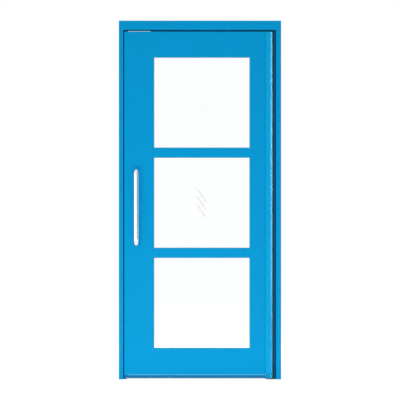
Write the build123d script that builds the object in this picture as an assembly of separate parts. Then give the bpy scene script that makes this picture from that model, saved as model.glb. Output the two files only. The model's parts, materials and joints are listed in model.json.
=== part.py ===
from build123d import *
import os
from math import sqrt

# Entrance door with its frame, in millimetres.
# X runs across the doorway, +Y goes in through it and +Z is up.
# The origin is at floor level, at mid width, on the plane of the frame's front face.

# Overall frame
overall_width = 1000.0
overall_height = 2210.0
lock_jamb_face = 27.0
hinge_jamb_face = 31.0
head_face = 57.0
frame_wall = 2.5
stop_depth = 22.0
stop_overlap = 16.0

# Gaps round the leaf
lock_gap = 6.0
top_gap = 10.8
floor_gap = 26.0
hinge_gap = 22.0
seal_gap = 4.0

# Leaf
leaf_thickness = 50.0
leaf_wall = 2.5
lock_stile_face = 183.0
hinge_stile_face = 94.4
top_rail_face = 158.0
bottom_rail_face = 166.0
bar_face = 58.5
pane_count = 3
nose_flat = 20.6
reveal_width = 1.2
reveal_depth = 6.0
edge_radius = 2.0
toe_radius = 2.5
foot_plate = 6.0
stile_web_from_edge = 118.0

# Glazing
rebate_depth = 16.0
lip_thickness = 3.0
glass_thickness = 9.0
glass_cover = 11.0
glass_arris = 0.8
gasket_thickness = 4.0
gasket_show = 2.6
gasket_bevel = 1.4
gasket_set_back = 1.0
bead_wall = 1.6
bead_radius = 3.0
bead_nib = 1.0
bead_nib_width = 1.6
bead_nib_from_back = 5.0
block_length = 80.0
block_shares = (0.2, 0.8)

# Rubber seals in the frame
groove_neck = 3.0
groove_lip = 1.2
groove_width = 5.0
groove_depth = 4.0
bulb_width = 7.0
bulb_hole = 1.2
bulb_round_share = 0.7
seal_slack = 0.2
gap_seal_depth = 9.0
gap_seal_tip = 2.5
gap_seal_bevel = 1.0
nose_to_seal = 1.4

# Nose tongue in the hinge stile
tongue_neck_width = 8.0
tongue_neck_depth = 3.0
tongue_head_width = 16.0
tongue_head_depth = 3.5
tongue_wall = 2.0
tongue_clearance = 0.3

# Joints between members
joint_gap = 0.2
spigot_length = 30.0
spigot_height = 21.0
spigot_clearance = 0.2
spigot_pair_share = 3.0
corner_plate = 5.0
corner_bracket_length = 42.0
corner_bracket_width = 21.8
corner_screw_shares = (0.4, 0.8)

# Pull handle
handle_diameter = 30.0
handle_wall = 2.0
handle_centres = 457.0
handle_mid_height = 1059.3
handle_from_edge = 75.5
handle_standoff = 62.0
handle_bend = 32.0
handle_plug_length = 28.0
handle_plug_end = 3.0
handle_bolt_diameter = 10.0
handle_bolt_grip = 22.0
sleeve_diameter = 18.0
cap_diameter = 20.0
cap_height = 6.0
cap_round_share = 0.7

# Pivots
pin_diameter = 12.0
pin_tip = 1.5
pin_end_gap = 2.0
running_clearance = 0.05
bush_wall = 3.0
bush_flange_diameter = 28.0
bush_flange = 2.2
bush_end_gap = 1.0
bearing_gap = 0.3
boss_diameter = 28.0
boss_height = 31.5
bracket_plate = 4.4
bracket_plate_radius = 18.0
bracket_arm_front = 8.0
bracket_arm_width = 16.0
bracket_tail_width = 36.0
bracket_tail_height = 28.0
foot_left = 16.5
foot_toe_radius = 4.0
foot_top_drop = 1.0
foot_neck_inset = 5.0
nose_foot_gap = 8.0
pivot_arm_width = 19.4
pivot_arm_thickness = 22.0
pivot_arm_recess = 2.2
pivot_arm_clearance = 0.3
top_arm_end_radius = 14.0
shoe_end_radius = 20.0
shoe_thickness = 28.0
shoe_roof = 3.0
arm_screw_shares = (0.25, 0.7)

# Closer in the head
closer_length = 276.0
closer_width = 42.0
closer_height = 40.0
closer_past_pivot = 18.0
closer_corner = 8.0
closer_bevel = 2.0
closer_screw_share = 0.3
spindle_diameter = 18.0
spindle_square = 14.0
spindle_grip = 36.0
spindle_end_gap = 1.5
spindle_shoulder_gap = 1.0
spindle_hole = 22.0
socket_clearance = 0.1

# Shear lock in the head and on the leaf
armature_length = 140.0
armature_width = 38.0
armature_thickness = 12.0
armature_proud = 4.4
armature_from_sight = 20.5
armature_corner = 2.0
armature_clearance = 0.6
housing_floor = 4.0
housing_buffer = 2.5
lift_clearance = 0.3
guide_pin_diameter = 6.0
guide_pin_spacing = 100.0
magnet_height = 28.0
magnet_margin = 3.0
magnet_ear = 14.0
magnet_ear_thickness = 6.0
cable_hole_diameter = 16.0
grommet_bore = 10.0
grommet_flange = 24.0
grommet_flange_thickness = 2.0

# Brush along the foot of the leaf
brush_holder_height = 9.0
brush_holder_width = 8.0
brush_holder_wall = 1.2
brush_floor_gap = 6.0
brush_width = 4.0
brush_front = 6.0
brush_end_gap = 3.0
brush_to_foot = 1.5
brush_lip_thickness = 1.0
brush_lip_height = 7.0
brush_lip_insets = (20.0, 13.0)

# Screws
screw_diameter = 5.0
screw_head = 9.5
screw_head_height = 2.5
screw_length = 14.0
screw_end_gap = 2.0
button_top_share = 0.55
button_edge_share = 0.4
socket_depth_share = 0.6
screw_socket = 3.0
screw_slack = 0.1

# Fixings to the wall
anchor_hole = 10.5
anchor_heights = (250.0, 850.0, 1450.0, 2050.0)
lock_anchor_depth = 27.0
hinge_anchor_depth = 12.0

# How far a cut reaches past a face, and how near an edge has to be to be picked
past = 1.0
near = 0.01

# Places worked out from the sizes above
frame_left = -overall_width / 2
frame_right = overall_width / 2
lock_jamb_in = frame_left + lock_jamb_face
hinge_jamb_in = frame_right - hinge_jamb_face
head_under = overall_height - head_face
stop_front = leaf_thickness + seal_gap
frame_depth = stop_front + stop_depth
leaf_left = lock_jamb_in + lock_gap
leaf_top = head_under - top_gap
leaf_bottom = floor_gap
nose_radius = leaf_thickness / 2
pivot_y = leaf_thickness / 2
pivot_x = hinge_jamb_in - hinge_gap - nose_radius
nose_left = pivot_x - nose_flat
cove_radius = nose_radius + seal_gap
stile_right = nose_left - joint_gap
sight_left = leaf_left + lock_stile_face
sight_right = nose_left - hinge_stile_face
rail_left = sight_left - rebate_depth
rail_right = sight_right + rebate_depth
pane_span = leaf_top - leaf_bottom - top_rail_face - bottom_rail_face
pane_height = (pane_span - (pane_count - 1) * bar_face) / pane_count
pane_bottoms = [leaf_bottom + bottom_rail_face + i * (pane_height + bar_face) for i in range(pane_count)]
stop_reach = lock_gap + stop_overlap
head_stop_reach = top_gap + stop_overlap
hinge_stop_end = pivot_x - stop_overlap - (cove_radius - nose_radius) / 2
glass_front = lip_thickness + gasket_thickness
glass_back = glass_front + glass_thickness
bead_front = glass_back + gasket_thickness
handle_x = leaf_left + handle_from_edge
handle_low = handle_mid_height - handle_centres / 2
handle_high = handle_mid_height + handle_centres / 2
nose_bottom = leaf_bottom + nose_foot_gap
stile_in_left = rail_right + leaf_wall
stile_in_right = stile_right - tongue_neck_depth - tongue_head_depth - tongue_wall
armature_right = sight_left - armature_from_sight
armature_mid = armature_right - armature_length / 2
armature_top = leaf_top + armature_proud
armature_travel = head_under - armature_top - lift_clearance
housing_bottom = armature_top - armature_thickness - housing_buffer - housing_floor


def block(x0, x1, y0, y1, z0, z1):
    """Box between two corners."""
    return Pos((x0 + x1) / 2, (y0 + y1) / 2, (z0 + z1) / 2) * Box(x1 - x0, y1 - y0, z1 - z0)


def rect(a0, a1, b0, b1):
    """Rectangle between two corners of a sketch."""
    return Pos((a0 + a1) / 2, (b0 + b1) / 2) * Rectangle(a1 - a0, b1 - b0)


def rod(x, y, z, length, diameter, direction):
    """Round bar that starts at a point and runs along a direction."""
    plane = Plane(origin=(x, y, z), z_dir=direction)
    return extrude(plane * Circle(diameter / 2), length)


def upright(section, z0, z1):
    """Carry a section in the XY plane from one height to another."""
    return extrude(Pos(0, 0, z0) * section, z1 - z0)


def across(section, x0, x1):
    """Carry a section given as (Y, Z) from one X to another."""
    return extrude(Plane.YZ.offset(x0) * section, x1 - x0)


def bar_along_edge(section, origin, outward, direction, length):
    """Carry a section along an edge: its first axis points outward and its second into the door."""
    plane = Plane(origin=origin, x_dir=outward, z_dir=direction)
    return extrude(plane * section, length)


def corner_fillet(sketch, radius, points):
    """Round the corners of a sketch that lie at the given points."""
    corners = [v for v in sketch.vertices() for x, y in points if abs(v.X - x) + abs(v.Y - y) < near]
    return fillet(corners, radius)


def seal_groove(centre, face):
    """T-shaped groove that opens on a face towards the front."""
    neck = rect(centre - groove_neck / 2, centre + groove_neck / 2, face, face + groove_lip)
    half = groove_width / 2
    pocket = rect(centre - half, centre + half, face + groove_lip, face + groove_depth)
    return neck + pocket


def groove_housing(centre, face):
    """Metal kept round a seal groove inside a hollow profile."""
    half = groove_width / 2 + frame_wall
    return rect(centre - half, centre + half, face, face + groove_depth + frame_wall)


def seal_foot(centre, face):
    """Foot of a rubber seal, a little smaller than its groove."""
    neck_half = groove_neck / 2 - seal_slack
    foot_half = groove_width / 2 - seal_slack
    neck = rect(centre - neck_half, centre + neck_half, face, face + groove_lip + seal_slack)
    foot = rect(centre - foot_half, centre + foot_half, face + groove_lip + seal_slack,
                face + groove_depth - seal_slack)
    return neck + foot


def bulb_seal(centre, face):
    """Hollow bulb seal that closes the gap behind the leaf."""
    tip = leaf_thickness + bearing_gap
    half = bulb_width / 2
    bulb = rect(centre - half, centre + half, tip, face)
    bulb = corner_fillet(bulb, (face - tip) * bulb_round_share, [(centre - half, tip), (centre + half, tip)])
    bulb -= Pos(centre, (face + tip) / 2) * Circle(bulb_hole)
    return bulb + seal_foot(centre, face)


def rebated_outline(face, reach, inset):
    """L-shaped outline of a frame member, from its outer edge to the end of its stop."""
    points = [
        (inset, inset),
        (face - inset, inset),
        (face - inset, stop_front + inset),
        (face + reach - inset, stop_front + inset),
        (face + reach - inset, frame_depth - inset),
        (inset, frame_depth - inset),
    ]
    return make_face(Polyline(*points, close=True))


def rebated_section(face, reach):
    """Hollow frame section with a seal groove in its stop."""
    groove_at = face + reach - stop_overlap / 2
    outer = rebated_outline(face, reach, 0)
    outer = corner_fillet(outer, edge_radius, [(0, 0), (face, 0)])
    chamber = rebated_outline(face, reach, frame_wall) - groove_housing(groove_at, stop_front)
    return outer - chamber - seal_groove(groove_at, stop_front)


def hinge_outline(inset):
    """Outline of the hinge jamb, with a cove that runs round the nose of the leaf."""
    radius = cove_radius + inset
    cove_start = (pivot_x + sqrt(radius ** 2 - inset ** 2), pivot_y + inset)
    cove_end = (pivot_x, pivot_y + radius)
    front = Polyline(
        cove_end,
        (hinge_stop_end + inset, stop_front + inset),
        (hinge_stop_end + inset, frame_depth - inset),
        (frame_right - inset, frame_depth - inset),
        (frame_right - inset, inset),
        (hinge_jamb_in + inset, inset),
        (hinge_jamb_in + inset, pivot_y + inset),
        cove_start,
    )
    cove = RadiusArc(cove_start, cove_end, -radius)
    return make_face(front + cove)


def hinge_seal_places():
    """X of the groove behind the leaf and X of the groove beside the nose."""
    behind_leaf = hinge_stop_end + stop_overlap / 2
    beside_nose = (pivot_x + cove_radius + hinge_jamb_in) / 2
    return behind_leaf, beside_nose


def make_lock_jamb():
    """Hollow jamb on the lock side, with holes for the wall anchors."""
    section = Pos(frame_left, 0) * rebated_section(lock_jamb_face, stop_reach)
    jamb = upright(section, 0, overall_height)
    for height in anchor_heights:
        jamb -= rod(frame_left - past, lock_anchor_depth, height, lock_jamb_face + 2 * past, anchor_hole,
                    (1, 0, 0))
    return jamb


def make_hinge_jamb():
    """Hollow jamb on the hinge side, coved round the nose and slotted for the pivot bracket."""
    behind_leaf, beside_nose = hinge_seal_places()
    outer = hinge_outline(0)
    outer = corner_fillet(outer, edge_radius, [(frame_right, 0), (hinge_jamb_in, 0)])
    chamber = hinge_outline(frame_wall)
    chamber -= groove_housing(behind_leaf, stop_front)
    chamber -= groove_housing(beside_nose, pivot_y)
    section = outer - chamber
    section -= seal_groove(behind_leaf, stop_front)
    section -= seal_groove(beside_nose, pivot_y)
    jamb = upright(section, 0, overall_height)
    for height in anchor_heights:
        jamb -= rod(frame_right + past, hinge_anchor_depth, height, hinge_jamb_face + 2 * past, anchor_hole,
                    (-1, 0, 0))
    arm_back = bracket_arm_front + bracket_arm_width
    jamb -= block(hinge_jamb_in - past, hinge_jamb_in + frame_wall + joint_gap, bracket_arm_front - joint_gap,
                  arm_back + joint_gap, -past, bracket_plate + joint_gap)
    for depth in bracket_screw_depths():
        jamb -= countersink(frame_right, depth, bracket_screw_height(), (-1, 0, 0))
    return jamb


def make_head():
    """Hollow head, coped to the jambs and cut for the closer, the lock magnet and its cable."""
    section = rebated_section(head_face, head_stop_reach)
    plane = Plane(origin=(lock_jamb_in, 0, overall_height), x_dir=(0, 0, -1), z_dir=(1, 0, 0))
    head = extrude(plane * section, hinge_jamb_in - lock_jamb_in)
    lock_side = Pos(frame_left, 0) * rebated_outline(lock_jamb_face, stop_reach, -joint_gap)
    head -= upright(lock_side, 0, overall_height + past)
    head -= upright(hinge_outline(-joint_gap), 0, overall_height + past)
    head -= rod(pivot_x, pivot_y, head_under - past, frame_wall + 2 * past, spindle_hole, (0, 0, 1))
    slot = magnet_margin + joint_gap
    half = armature_length / 2 + slot
    wide = armature_width / 2 + joint_gap
    head -= block(armature_mid - half, armature_mid + half, pivot_y - wide, pivot_y + wide,
                  head_under - past, head_under + frame_wall + near)
    head -= rod(armature_mid, pivot_y, overall_height + past, frame_wall + 2 * past, cable_hole_diameter,
                (0, 0, -1))
    hole = screw_diameter + 2 * screw_slack
    for x, y in closer_screw_places() + magnet_screw_places():
        head -= rod(x, y, head_under - past, frame_wall + 2 * past, hole, (0, 0, 1))
    for x, y in corner_screw_places():
        head -= countersink(x, y, overall_height, (0, 0, -1))
    return head


def make_screw(x, y, z, direction, countersunk):
    """Socket screw whose head starts at a point on the surface and whose shank runs along a direction."""
    half = screw_diameter / 2
    wide = screw_head / 2
    if countersunk:
        outline = [(0, 0), (wide, 0), (half, screw_head_height), (half, screw_length), (0, screw_length)]
        socket_start = 0
    else:
        outline = [(0, -screw_head_height), (wide * button_top_share, -screw_head_height),
                   (wide, -screw_head_height * button_edge_share), (wide, 0), (half, 0), (half, screw_length),
                   (0, screw_length)]
        socket_start = -screw_head_height
    profile = make_face(Plane.XZ * Polyline(*outline, close=True))
    body = revolve(profile, Axis.Z)
    hexagon = Pos(0, 0, socket_start) * RegularPolygon(screw_socket / 2, 6)
    socket = extrude(hexagon, screw_head_height * socket_depth_share)
    plane = Plane(origin=(x, y, z), z_dir=direction)
    return plane * (body - socket)


def countersink(x, y, z, direction):
    """Hole with a conical mouth for a countersunk screw."""
    plane = Plane(origin=(x, y, z), z_dir=direction)
    head_radius = screw_head / 2 + screw_slack
    shank_radius = screw_diameter / 2 + screw_slack
    mouth = Pos(0, 0, screw_head_height / 2) * Cone(head_radius, shank_radius, screw_head_height)
    shank = Pos(0, 0, screw_length / 2) * Cylinder(shank_radius, screw_length + screw_slack)
    return plane * (mouth + shank)


def corner_screw_places():
    """Screws down through the top of the head into the corner brackets."""
    reaches = [corner_bracket_length * share for share in corner_screw_shares]
    depth = pivot_y - joint_gap - corner_bracket_width / 2
    places = [(lock_jamb_in + reach, depth) for reach in reaches]
    return places + [(hinge_jamb_in - reach, depth) for reach in reaches]


def closer_screw_places():
    """Screws up through the underside of the head into the closer."""
    right = pivot_x + closer_past_pivot
    left = right - closer_length
    offset = closer_width * closer_screw_share
    depths = (pivot_y - offset, pivot_y + offset)
    return [(x, y) for x in (left + 2 * closer_corner, pivot_x - closer_past_pivot) for y in depths]


def magnet_screw_places():
    """Screws up through the underside of the head into the ears of the magnet."""
    reach = armature_length / 2 + magnet_margin + magnet_ear / 2
    return [(armature_mid - reach, pivot_y), (armature_mid + reach, pivot_y)]


def bracket_screw_depths():
    """Depths of the screws that hold the pivot bracket in the jamb."""
    quarter = bracket_tail_width / 4
    return (pivot_y - quarter, pivot_y + quarter)


def bracket_screw_height():
    """Height of the screws that hold the pivot bracket in the jamb."""
    return bracket_plate + (bracket_tail_height - bracket_plate) / 2


def make_corner_brackets():
    """Two angle brackets that join the head to the jambs from inside."""
    top = overall_height - frame_wall
    bottom = head_under + frame_wall + corner_plate
    back = pivot_y - joint_gap
    front = back - corner_bracket_width
    brackets = []
    for wall, way in ((lock_jamb_in, 1), (hinge_jamb_in, -1)):
        plate = sorted((wall, wall + way * corner_plate))
        arm = sorted((wall, wall + way * corner_bracket_length))
        bracket = block(plate[0], plate[1], front, back, bottom, top)
        bracket += block(arm[0], arm[1], front, back, top - corner_plate, top)
        for x, y in corner_screw_places():
            bracket -= rod(x, y, top + past, corner_plate + 2 * past, screw_diameter + 2 * screw_slack,
                           (0, 0, -1))
        brackets.append(bracket)
    return brackets


def make_corner_screws():
    """Countersunk screws of the corner brackets and of the pivot bracket."""
    screws = [make_screw(x, y, overall_height, (0, 0, -1), True) for x, y in corner_screw_places()]
    height = bracket_screw_height()
    screws += [make_screw(frame_right, y, height, (-1, 0, 0), True) for y in bracket_screw_depths()]
    return screws


def make_head_screws():
    """Button screws under the head that carry the closer and the magnet."""
    places = closer_screw_places() + magnet_screw_places()
    return [make_screw(x, y, head_under, (0, 0, 1), False) for x, y in places]


def make_lock_jamb_gasket():
    """Bulb seal up the lock side stop."""
    centre = lock_jamb_face + stop_reach - stop_overlap / 2
    section = Pos(frame_left, 0) * bulb_seal(centre, stop_front)
    return upright(section, 0, head_under - head_stop_reach + stop_overlap / 2 - bulb_width / 2 - joint_gap)


def make_hinge_jamb_gasket():
    """Bulb seal up the hinge side stop, behind the leaf."""
    behind_leaf, _ = hinge_seal_places()
    section = bulb_seal(behind_leaf, stop_front)
    return upright(section, 0, head_under - head_stop_reach + stop_overlap / 2 - bulb_width / 2 - joint_gap)


def make_head_gasket():
    """Bulb seal along the stop of the head."""
    centre = head_face + head_stop_reach - stop_overlap / 2
    start = lock_jamb_in + stop_reach + joint_gap
    end = hinge_stop_end - joint_gap
    plane = Plane(origin=(start, 0, overall_height), x_dir=(0, 0, -1), z_dir=(1, 0, 0))
    return extrude(plane * bulb_seal(centre, stop_front), end - start)


def make_hinge_gap_seal():
    """Dark seal that fills the gap between the nose and the hinge jamb."""
    _, beside_nose = hinge_seal_places()
    tip_x = pivot_x + nose_radius + nose_to_seal
    wall_x = hinge_jamb_in - seal_slack
    shoulder = pivot_x + cove_radius
    front = pivot_y - gap_seal_depth
    points = [
        (wall_x, pivot_y),
        (wall_x, front + gap_seal_bevel),
        (wall_x - gap_seal_bevel, front),
        (beside_nose, front + gap_seal_bevel),
        (tip_x, pivot_y - gap_seal_tip - gap_seal_bevel),
        (tip_x, pivot_y - gap_seal_bevel),
        (shoulder, pivot_y),
    ]
    section = make_face(Polyline(*points, close=True)) + seal_foot(beside_nose, pivot_y)
    return upright(section, bracket_plate + joint_gap, head_under - joint_gap)


def member_section(low, high, lip_low, lip_high, web=None):
    """Hollow leaf member from low to high, with glazing lips and grooves for the beads where asked."""
    section = rect(low, high, 0, leaf_thickness)
    section -= rect(low + leaf_wall, high - leaf_wall, leaf_wall, leaf_thickness - leaf_wall)
    if web is not None:
        half = leaf_wall / 2
        section += rect(web - half, web + half, half, leaf_thickness - half)
    nib_back = leaf_thickness - bead_nib_from_back + seal_slack
    nib_front = nib_back - bead_nib_width - 2 * seal_slack
    if lip_low:
        section += rect(low - rebate_depth, low + leaf_wall, 0, lip_thickness)
        section -= rect(low, low + bead_nib + seal_slack, nib_front, nib_back)
    if lip_high:
        section += rect(high - leaf_wall, high + rebate_depth, 0, lip_thickness)
        section -= rect(high - bead_nib - seal_slack, high, nib_front, nib_back)
    return section


def close_foot(stile, x0, x1):
    """Close the lower end of a stile between two points and round its front edge."""
    half = leaf_wall / 2
    stile += block(x0, x1, half, leaf_thickness - half, leaf_bottom, leaf_bottom + foot_plate)
    corner = rect(-past, toe_radius, leaf_bottom - past, leaf_bottom + toe_radius)
    corner -= Pos(toe_radius, leaf_bottom + toe_radius) * Circle(toe_radius)
    return stile - across(corner, leaf_left - past, nose_left)


def make_lock_stile():
    """Wide hollow stile on the lock side, open at the top for the armature housing."""
    web = leaf_left + stile_web_from_edge
    section = member_section(leaf_left, rail_left, False, True, web)
    section = corner_fillet(section, edge_radius, [(leaf_left, 0), (leaf_left, leaf_thickness)])
    stile = upright(section, leaf_bottom, leaf_top)
    stile = close_foot(stile, leaf_left + leaf_wall / 2, rail_left - leaf_wall / 2)
    stile -= block(leaf_left + leaf_wall, rail_left - leaf_wall, leaf_wall, leaf_thickness - leaf_wall,
                   housing_bottom, leaf_top + past)
    hole = handle_bolt_diameter + 2 * screw_slack
    for height in (handle_low, handle_high):
        stile -= rod(handle_x, -past, height, leaf_thickness + 2 * past, hole, (0, 1, 0))
    return stile


def tongue_slot(slack):
    """T-shaped tongue of the nose, shrunk by a slack on every side."""
    neck = tongue_neck_width / 2 - slack
    head = tongue_head_width / 2 - slack
    deep = stile_right - tongue_neck_depth
    section = rect(deep - slack, nose_left, pivot_y - neck, pivot_y + neck)
    section += rect(deep - tongue_head_depth + slack, deep - slack, pivot_y - head, pivot_y + head)
    return section


def pivot_slot(z0, z1):
    """Room for a pivot arm through the side walls of the hinge stile and the nose."""
    half = pivot_arm_width / 2 + pivot_arm_clearance
    start = stile_in_right - pivot_arm_clearance
    return block(start, nose_left + leaf_wall + past, pivot_y - half, pivot_y + half, z0, z1)


def make_hinge_stile():
    """Hollow hinge stile with a T-slot for the nose and slots for the pivot arms."""
    section = member_section(rail_right, stile_right, True, False)
    keep = tongue_head_width / 2 + tongue_wall
    section += rect(stile_in_right, stile_right - leaf_wall / 2, pivot_y - keep, pivot_y + keep)
    section -= tongue_slot(0)
    section = corner_fillet(section, edge_radius, [(stile_right, 0), (stile_right, leaf_thickness)])
    stile = upright(section, leaf_bottom, leaf_top)
    stile = close_foot(stile, rail_right + leaf_wall / 2, stile_in_right + leaf_wall / 2)
    stile -= pivot_slot(top_arm_bottom() - pivot_arm_clearance, leaf_top + past)
    stile -= pivot_slot(leaf_bottom - past, nose_bottom + shoe_thickness + pivot_arm_clearance)
    for x, z in arm_screw_places():
        stile -= countersink(x, leaf_thickness, z, (0, -1, 0))
    return stile


def half_round(left, inset):
    """Outline with a flat left side and a half-round right side about the pivot axis."""
    radius = nose_radius - inset
    flat = rect(left, pivot_x, inset, leaf_thickness - inset)
    window = rect(left, pivot_x + radius, -past, leaf_thickness + past)
    return flat + (Pos(pivot_x, pivot_y) * Circle(radius)) & window


def nose_outline(inset):
    """Flat sides and a half-round end, on the axis of the pivots."""
    return half_round(nose_left + inset, inset)


def make_nose_profile():
    """Half-round hollow profile at the hinge edge, slid on to the stile by its tongue."""
    outer = nose_outline(0)
    step = nose_left + reveal_width
    for y0, y1 in ((0, reveal_depth), (leaf_thickness - reveal_depth, leaf_thickness)):
        outer -= rect(nose_left, step, y0, y1)
    outer = corner_fillet(outer, edge_radius, [(step, 0), (step, leaf_thickness)])
    section = outer - nose_outline(leaf_wall)
    half = tongue_neck_width / 2
    section += rect(nose_left - joint_gap, nose_left + leaf_wall / 2, pivot_y - half + tongue_clearance,
                    pivot_y + half - tongue_clearance)
    section += tongue_slot(tongue_clearance)
    nose = upright(section, nose_bottom, leaf_top)
    nose -= pivot_slot(top_arm_bottom() - pivot_arm_clearance, leaf_top + past)
    nose -= pivot_slot(nose_bottom - past, nose_bottom + shoe_thickness + pivot_arm_clearance)
    return nose


def make_rail(low, high, lip_low, lip_high, toe=False):
    """Hollow rail or bar between the stiles, coped to pass behind their front lips."""
    section = member_section(low, high, lip_low, lip_high)
    plane = Plane(origin=(rail_left + joint_gap, 0, 0), x_dir=(0, 0, 1), z_dir=(-1, 0, 0))
    length = rail_right - rail_left - 2 * joint_gap
    if toe:
        section = corner_fillet(section, toe_radius, [(low, 0)])
    rail = extrude(plane * section, -length)
    for start, end in ((rail_left, sight_left + joint_gap), (sight_right - joint_gap, rail_right)):
        rail -= block(start, end, -past, lip_thickness + joint_gap, low - rebate_depth - past,
                      high + rebate_depth + past)
    return rail


def make_top_rail():
    """Top rail of the leaf."""
    return make_rail(leaf_top - top_rail_face + rebate_depth, leaf_top, True, False)


def make_bottom_rail():
    """Bottom rail of the leaf, with a rounded toe."""
    return make_rail(leaf_bottom, leaf_bottom + bottom_rail_face - rebate_depth, False, True, toe=True)


def make_bar(index):
    """Glazing bar above a pane."""
    low = pane_bottoms[index] + pane_height + rebate_depth
    return make_rail(low, low + bar_face - 2 * rebate_depth, True, True)


def rail_chambers():
    """Lowest and highest point inside each rail and bar."""
    chambers = [(leaf_bottom + leaf_wall, leaf_bottom + bottom_rail_face - rebate_depth - leaf_wall)]
    for index in range(pane_count - 1):
        low = pane_bottoms[index] + pane_height + rebate_depth + leaf_wall
        chambers.append((low, low + bar_face - 2 * rebate_depth - 2 * leaf_wall))
    chambers.append((leaf_top - top_rail_face + rebate_depth + leaf_wall, leaf_top - leaf_wall))
    return chambers


def make_rail_spigots():
    """Blocks on the sides of the stiles that carry the ends of the rails and bars."""
    y0 = lip_thickness + spigot_clearance
    y1 = leaf_thickness - leaf_wall - spigot_clearance
    spigots = []
    for low, high in rail_chambers():
        bottoms = [low + spigot_clearance]
        if high - low > spigot_pair_share * spigot_height:
            bottoms.append(high - spigot_clearance - spigot_height)
        for z in bottoms:
            spigots.append(block(rail_left, rail_left + spigot_length, y0, y1, z, z + spigot_height))
            spigots.append(block(rail_right - spigot_length, rail_right, y0, y1, z, z + spigot_height))
    return spigots


def pane_ring(z0, inner, outer, y0, y1):
    """Flat ring round a pane, from inner to outer millimetres beyond its sight line."""
    width = sight_right - sight_left
    centre = Pos((sight_left + sight_right) / 2, 0, z0 + pane_height / 2)
    big = Box(width + 2 * outer, y1 - y0, pane_height + 2 * outer)
    small = Box(width + 2 * inner, y1 - y0 + past, pane_height + 2 * inner)
    return centre * Pos(0, (y0 + y1) / 2, 0) * (big - small)


def make_glass(index):
    """Laminated pane with arrised edges."""
    z0 = pane_bottoms[index]
    pane = block(sight_left - glass_cover, sight_right + glass_cover, glass_front, glass_back,
                 z0 - glass_cover, z0 + pane_height + glass_cover)
    return chamfer(pane.edges(), glass_arris)


def show_lip(z0, y0, y1, bevel_side):
    """Part of a gasket that shows inside the sight line, with a bevelled inner edge."""
    lip = pane_ring(z0, -gasket_show, near, y0, y1)
    edges = []
    for edge in lip.edges():
        middle = edge.center()
        inside = sight_left + past < middle.X < sight_right - past
        inside = inside and z0 + past < middle.Z < z0 + pane_height - past
        if inside and abs(middle.Y - bevel_side) < near:
            edges.append(edge)
    return chamfer(edges, gasket_bevel)


def make_outer_gasket(index):
    """Dry gasket between the front lips and the glass, with a narrow edge that shows."""
    z0 = pane_bottoms[index]
    gasket = pane_ring(z0, 0, glass_cover - gasket_set_back, lip_thickness, glass_front)
    front = lip_thickness + gasket_set_back
    return gasket + show_lip(z0, front, glass_front, front)


def make_inner_gasket(index):
    """Wedge gasket between the glass and the beads."""
    z0 = pane_bottoms[index]
    gasket = pane_ring(z0, 0, glass_cover - gasket_set_back, glass_back, bead_front)
    back = bead_front - gasket_set_back
    return gasket + show_lip(z0, glass_back, back, back)


def make_setting_blocks():
    """Blocks that carry each pane on the member below it."""
    blocks = []
    for z0 in pane_bottoms:
        for share in block_shares:
            x = sight_left + share * (sight_right - sight_left)
            blocks.append(block(x - block_length / 2, x + block_length / 2, glass_front, glass_back,
                                z0 - rebate_depth, z0 - glass_cover))
    return blocks


def bead_section():
    """Hollow glazing bead with a nib that snaps into its groove."""
    wide = rebate_depth - joint_gap
    section = rect(0, wide, bead_front, leaf_thickness)
    section = corner_fillet(section, bead_radius, [(0, leaf_thickness)])
    section -= rect(bead_wall, wide - bead_wall, bead_front + bead_wall, leaf_thickness - bead_wall)
    nib_back = leaf_thickness - bead_nib_from_back
    return section + rect(wide, rebate_depth + bead_nib, nib_back - bead_nib_width, nib_back)


def make_beads(index):
    """The four beads of a pane: level ones across the rebate and upright ones between them."""
    section = bead_section()
    z0 = pane_bottoms[index]
    z1 = z0 + pane_height
    level = rail_right - rail_left - 2 * joint_gap
    tall = pane_height - 2 * joint_gap
    return {
        "bottom": bar_along_edge(section, (rail_left + joint_gap, 0, z0), (0, 0, -1), (1, 0, 0), level),
        "top": bar_along_edge(section, (rail_right - joint_gap, 0, z1), (0, 0, 1), (-1, 0, 0), level),
        "lock": bar_along_edge(section, (sight_left, 0, z1 - joint_gap), (-1, 0, 0), (0, 0, -1), tall),
        "hinge": bar_along_edge(section, (sight_right, 0, z0 + joint_gap), (1, 0, 0), (0, 0, 1), tall),
    }


def make_pull_handle():
    """Bent tube pull handle with a threaded plug welded in each end."""
    path = FilletPolyline(
        (handle_x, 0, handle_low),
        (handle_x, -handle_standoff, handle_low),
        (handle_x, -handle_standoff, handle_high),
        (handle_x, 0, handle_high),
        radius=handle_bend,
    )
    start = Plane(origin=(handle_x, 0, handle_low), z_dir=(0, -1, 0))
    outer = sweep(start * Circle(handle_diameter / 2), path=path)
    inner = sweep(start * Circle(handle_diameter / 2 - handle_wall), path=path)
    handle = outer - inner
    for height in (handle_low, handle_high):
        plug = rod(handle_x, 0, height, handle_plug_length, handle_diameter - handle_wall, (0, -1, 0))
        depth = handle_plug_length - handle_plug_end
        bore = rod(handle_x, past, height, depth + past, handle_bolt_diameter + 2 * screw_slack, (0, -1, 0))
        handle = handle + plug - bore
    return handle


def make_handle_bolts():
    """Bolts through the stile into the handle, with domed heads on the inside."""
    bolts = []
    for height in (handle_low, handle_high):
        length = leaf_thickness + handle_bolt_grip
        head = rod(handle_x, leaf_thickness, height, cap_height, cap_diameter, (0, 1, 0))
        head = fillet(head.faces().sort_by(Axis.Y)[-1].edges(), cap_height * cap_round_share)
        bolts.append(head + rod(handle_x, leaf_thickness, height, length, handle_bolt_diameter, (0, -1, 0)))
    return bolts


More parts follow.
